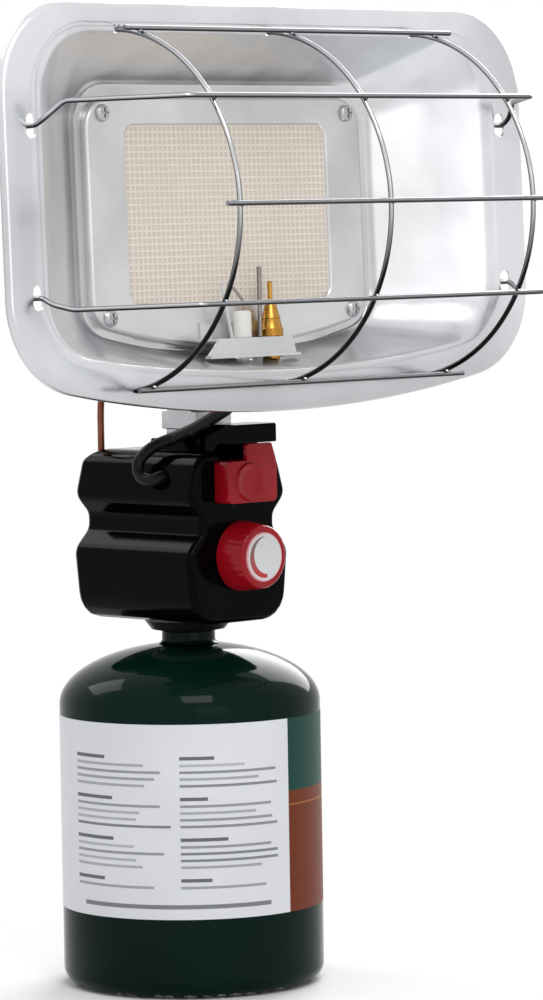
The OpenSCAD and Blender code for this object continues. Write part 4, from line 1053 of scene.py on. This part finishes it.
shelf_wire("spark_wire", spark_route, reach=1, radius=0.6, cad_node="spark_electrode")

# ---- Wire guard ----
# Plated steel wire: three hoops hooked through the flange, two long side wires that lie on them
# and hook into its ends, and three straight rods. Every crossing is spot welded.

hoop_out, wire_r, rod_reach, foot_rod_w = 56.0, 0.95, 84.0, 10.0
hoop_r = (hoop_foot ** 2 + hoop_out ** 2) / (2 * hoop_out)
hoop_w = hoop_out - hoop_r
rod_r = hoop_r + 2 * wire_r + 0.05
upper_wire, lower_wire = 38.0, -34.5
foot_rod = sqrt(rod_r ** 2 - (foot_rod_w - hoop_w) ** 2)


def over_hoops(v):
    """Depth of a wire that lies on the hoops at height v."""
    return hoop_w + sqrt(rod_r ** 2 - v ** 2)


def hoop_path(u):
    """One hoop in the plane across the face: both of its feet hook upwards behind the flange."""
    hook_bend, hook_end = 0.9, 3.8
    hook_w, straight_w = -sheet - 2.4, -sheet - 1.5
    turn = degrees(acos(-hoop_w / hoop_r))
    side = [(hoop_foot + hook_end, hook_w), (hoop_foot + hook_bend, hook_w), (hoop_foot, straight_w)]
    side += [(v, w) for w, v in arc((hoop_w, 0), hoop_r, turn, -turn, 64)]
    side += [(-hoop_foot, straight_w), (hook_bend - hoop_foot, hook_w), (hook_end - hoop_foot, hook_w)]
    return [across_face(u, v, w) for v, w in side]


def side_path(v, end_v):
    """A wire over the hoops at height v, whose ends turn back and hook through the end slots."""
    half = [(88, v, over_hoops(v)), (slot_u - 5, v, 12), (slot_u - 1, end_v * 1.08, 6), (slot_u, end_v, 2),
            (slot_u, end_v, -3), (slot_u + 5, end_v, -3.6)]
    route = [(-u, a, w) for u, a, w in reversed(half)] + half
    return eased([across_face(*place) for place in route], 1.9 * mm, 8)


def plated_wire(name, spread):
    """Plating with painted reflections: a light room painted along the top, a dark bench painted beneath
    and a painted highlight streak. `spread` says how much lighter the painted reflection gets from the
    guard's foot to its top."""
    foot_z, top_z = 0.235, 0.345

    def painted_room_and_bench(tree, worked):
        # Painted reflection: dark where the wire faces down, light where it faces up and lighter towards the
        # guard's top, with a painted highlight streak.
        lift = between(axes(tree)["Z"], foot_z, top_z, -spread, spread)
        upward = calc("ADD", axes(tree, "Normal")["Z"], lift)
        skyward = between(upward, -0.5, 0.3)
        painted_streak = product(between(facing(tree), 0.12, 0.5, 1.0, 0.0), skyward)
        painted_reflection = mixed(skyward, tone(26, 26, 28), worked["Color"])
        painted_reflection = mixed(between(upward, 0.3, 0.9, 0.0, 0.8), painted_reflection, tone(150, 151, 155))
        return {"Base Color": mixed(painted_streak, painted_reflection, tone(204, 205, 208))}

    return finish(name, (84, 85, 88), (98, 99, 102), 0.08, 0.16, patch=60, marks=0.1, metal=1.0,
                  detail=painted_room_and_bench)


def guard_wire(name, path, material, cad_node):
    """One wire of the guard in place of its CAD node."""
    fit(wire(name, path, wire_r, material), "head", "guard_wire", material, cad_node)


hoop_chrome = plated_wire("plated hoop", 0.6)
guard_chrome = plated_wire("plated wire", 0.06)
for name, u in zip(("left", "middle", "right"), hoop_places):
    guard_wire("hoop_" + name, hoop_path(u), hoop_chrome, "guard_hoop_" + name)
for name, v, end_v in (("upper", upper_wire, slot_v), ("lower", lower_wire, -slot_v)):
    guard_wire("side_wire_" + name, side_path(v, end_v), guard_chrome, "guard_wire_" + name)
for name, v in (("middle", 0.0), ("top", foot_rod), ("bottom", -foot_rod)):
    ends = [across_face(u, v, over_hoops(v)) for u in (-rod_reach, rod_reach)]
    guard_wire("rod_" + name, ends, guard_chrome, "guard_rod_" + name)


def weld_nugget():
    """A flattened drop of steel, its thin way along Z."""
    mesh = bmesh.new()
    size = Matrix.Diagonal((1.25 * mm, 1.25 * mm, 0.95 * mm, 1))
    bmesh.ops.create_icosphere(mesh, subdivisions=2, radius=1.0, matrix=size)
    return put_in_scene("weld_nugget", mesh)


def weld_places():
    """Where a wire lies on a hoop, halfway between their middles."""
    share = 1 - wire_r / rod_r
    return [across_face(u, v * share, hoop_w + (over_hoops(v) - hoop_w) * share)
            for u in hoop_places for v in (upper_wire, lower_wire, 0.0, foot_rod, -foot_rod)]


welds = scattered("guard_welds", weld_nugget(), weld_places(), face_place.to_euler(), guard_chrome)
fit(welds, "head", "guard_wire", guard_chrome)

# ---- Studio ----
# A plain pale floor that keeps the heater's shadow and fades into a white background, soft lamps
# at a plain level, and the camera.


def seen_plainly(tree):
    """1 where the eye meets a surface by itself or in a mirror, 0 where only light is gathered."""
    ray = node(tree, "ShaderNodeLightPath").outputs
    by_eye = calc("MAXIMUM", ray["Is Camera Ray"], ray["Is Glossy Ray"])
    return calc("MAXIMUM", by_eye, ray["Is Transmission Ray"])


def white_world():
    """White wherever it is seen or mirrored, and a softer fill light elsewhere."""
    world = bpy.data.worlds.new("studio")
    bpy.context.scene.world = world
    world.use_nodes = True
    tree = world.node_tree
    strength = between(seen_plainly(tree), 0.0, 1.0, 0.42, 1.0)
    feed(tree.nodes["Background"], {"Color": (1, 1, 1, 1), "Strength": strength})


def pale_floor():
    """Pale matt floor near the heater, fading into the background's white."""
    fade_start, fade_end = 0.05, 0.17
    made = bpy.data.materials.new("pale floor")
    made.use_nodes = True
    tree = made.node_tree
    shader = tree.nodes["Principled BSDF"]
    feed(shader, {"Base Color": (0.9, 0.9, 0.9, 1), "Roughness": 0.8})
    where = axes(tree)
    away = between(distance(where["X"], where["Y"]), fade_start, fade_end)
    white = node(tree, "ShaderNodeEmission", {"Color": (1, 1, 1, 1), "Strength": 1.0}).outputs[0]
    parts = {0: product(away, seen_plainly(tree)), 1: shader.outputs[0], 2: white}
    feed(tree.nodes["Material Output"], {"Surface": node(tree, "ShaderNodeMixShader", parts).outputs[0]})
    return made


def lamp(name, place, size, power):
    """A square soft lamp that points at the middle of the heater."""
    light = bpy.data.lights.new(name, "AREA")
    light.size, light.energy = size, power
    made = linked(name, light)
    made.location = place
    made.rotation_euler = (Vector((0, 0, 0.2)) - Vector(place)).to_track_quat("-Z", "Y").to_euler()


def camera():
    """A long lens a little above the heater's middle, turned to its front left corner."""
    view = bpy.data.cameras.new("camera")
    view.lens, view.sensor_width, view.clip_end = 170.49, 36, 20
    made = linked("camera", view)
    made.location = (-1.2310, -1.2744, 0.2937)
    heading = Matrix.Rotation(radians(-45.042), 4, "Z")
    pitch = Matrix.Rotation(radians(90 - 3.652), 4, "X")
    roll = Matrix.Rotation(radians(-0.951), 4, "Z")
    made.rotation_euler = (heading @ pitch @ roll).to_euler()
    bpy.context.scene.camera = made


white_world()
floor_mesh = bmesh.new()
bmesh.ops.create_circle(floor_mesh, cap_ends=True, segments=96, radius=3.0)
floor = put_in_scene("floor", floor_mesh)
floor.data.materials.append(pale_floor())
lamp("key", (-0.85, -1.2, 1.9), size=0.9, power=18)
lamp("front", (-0.75, -1.75, 0.45), size=1.0, power=2.5)
lamp("right", (1.3, 0.5, 0.95), size=1.1, power=21)
lamp("back", (-0.35, 1.25, 1.35), size=0.7, power=6)
camera()
bpy.context.scene.view_settings.view_transform = "Standard"
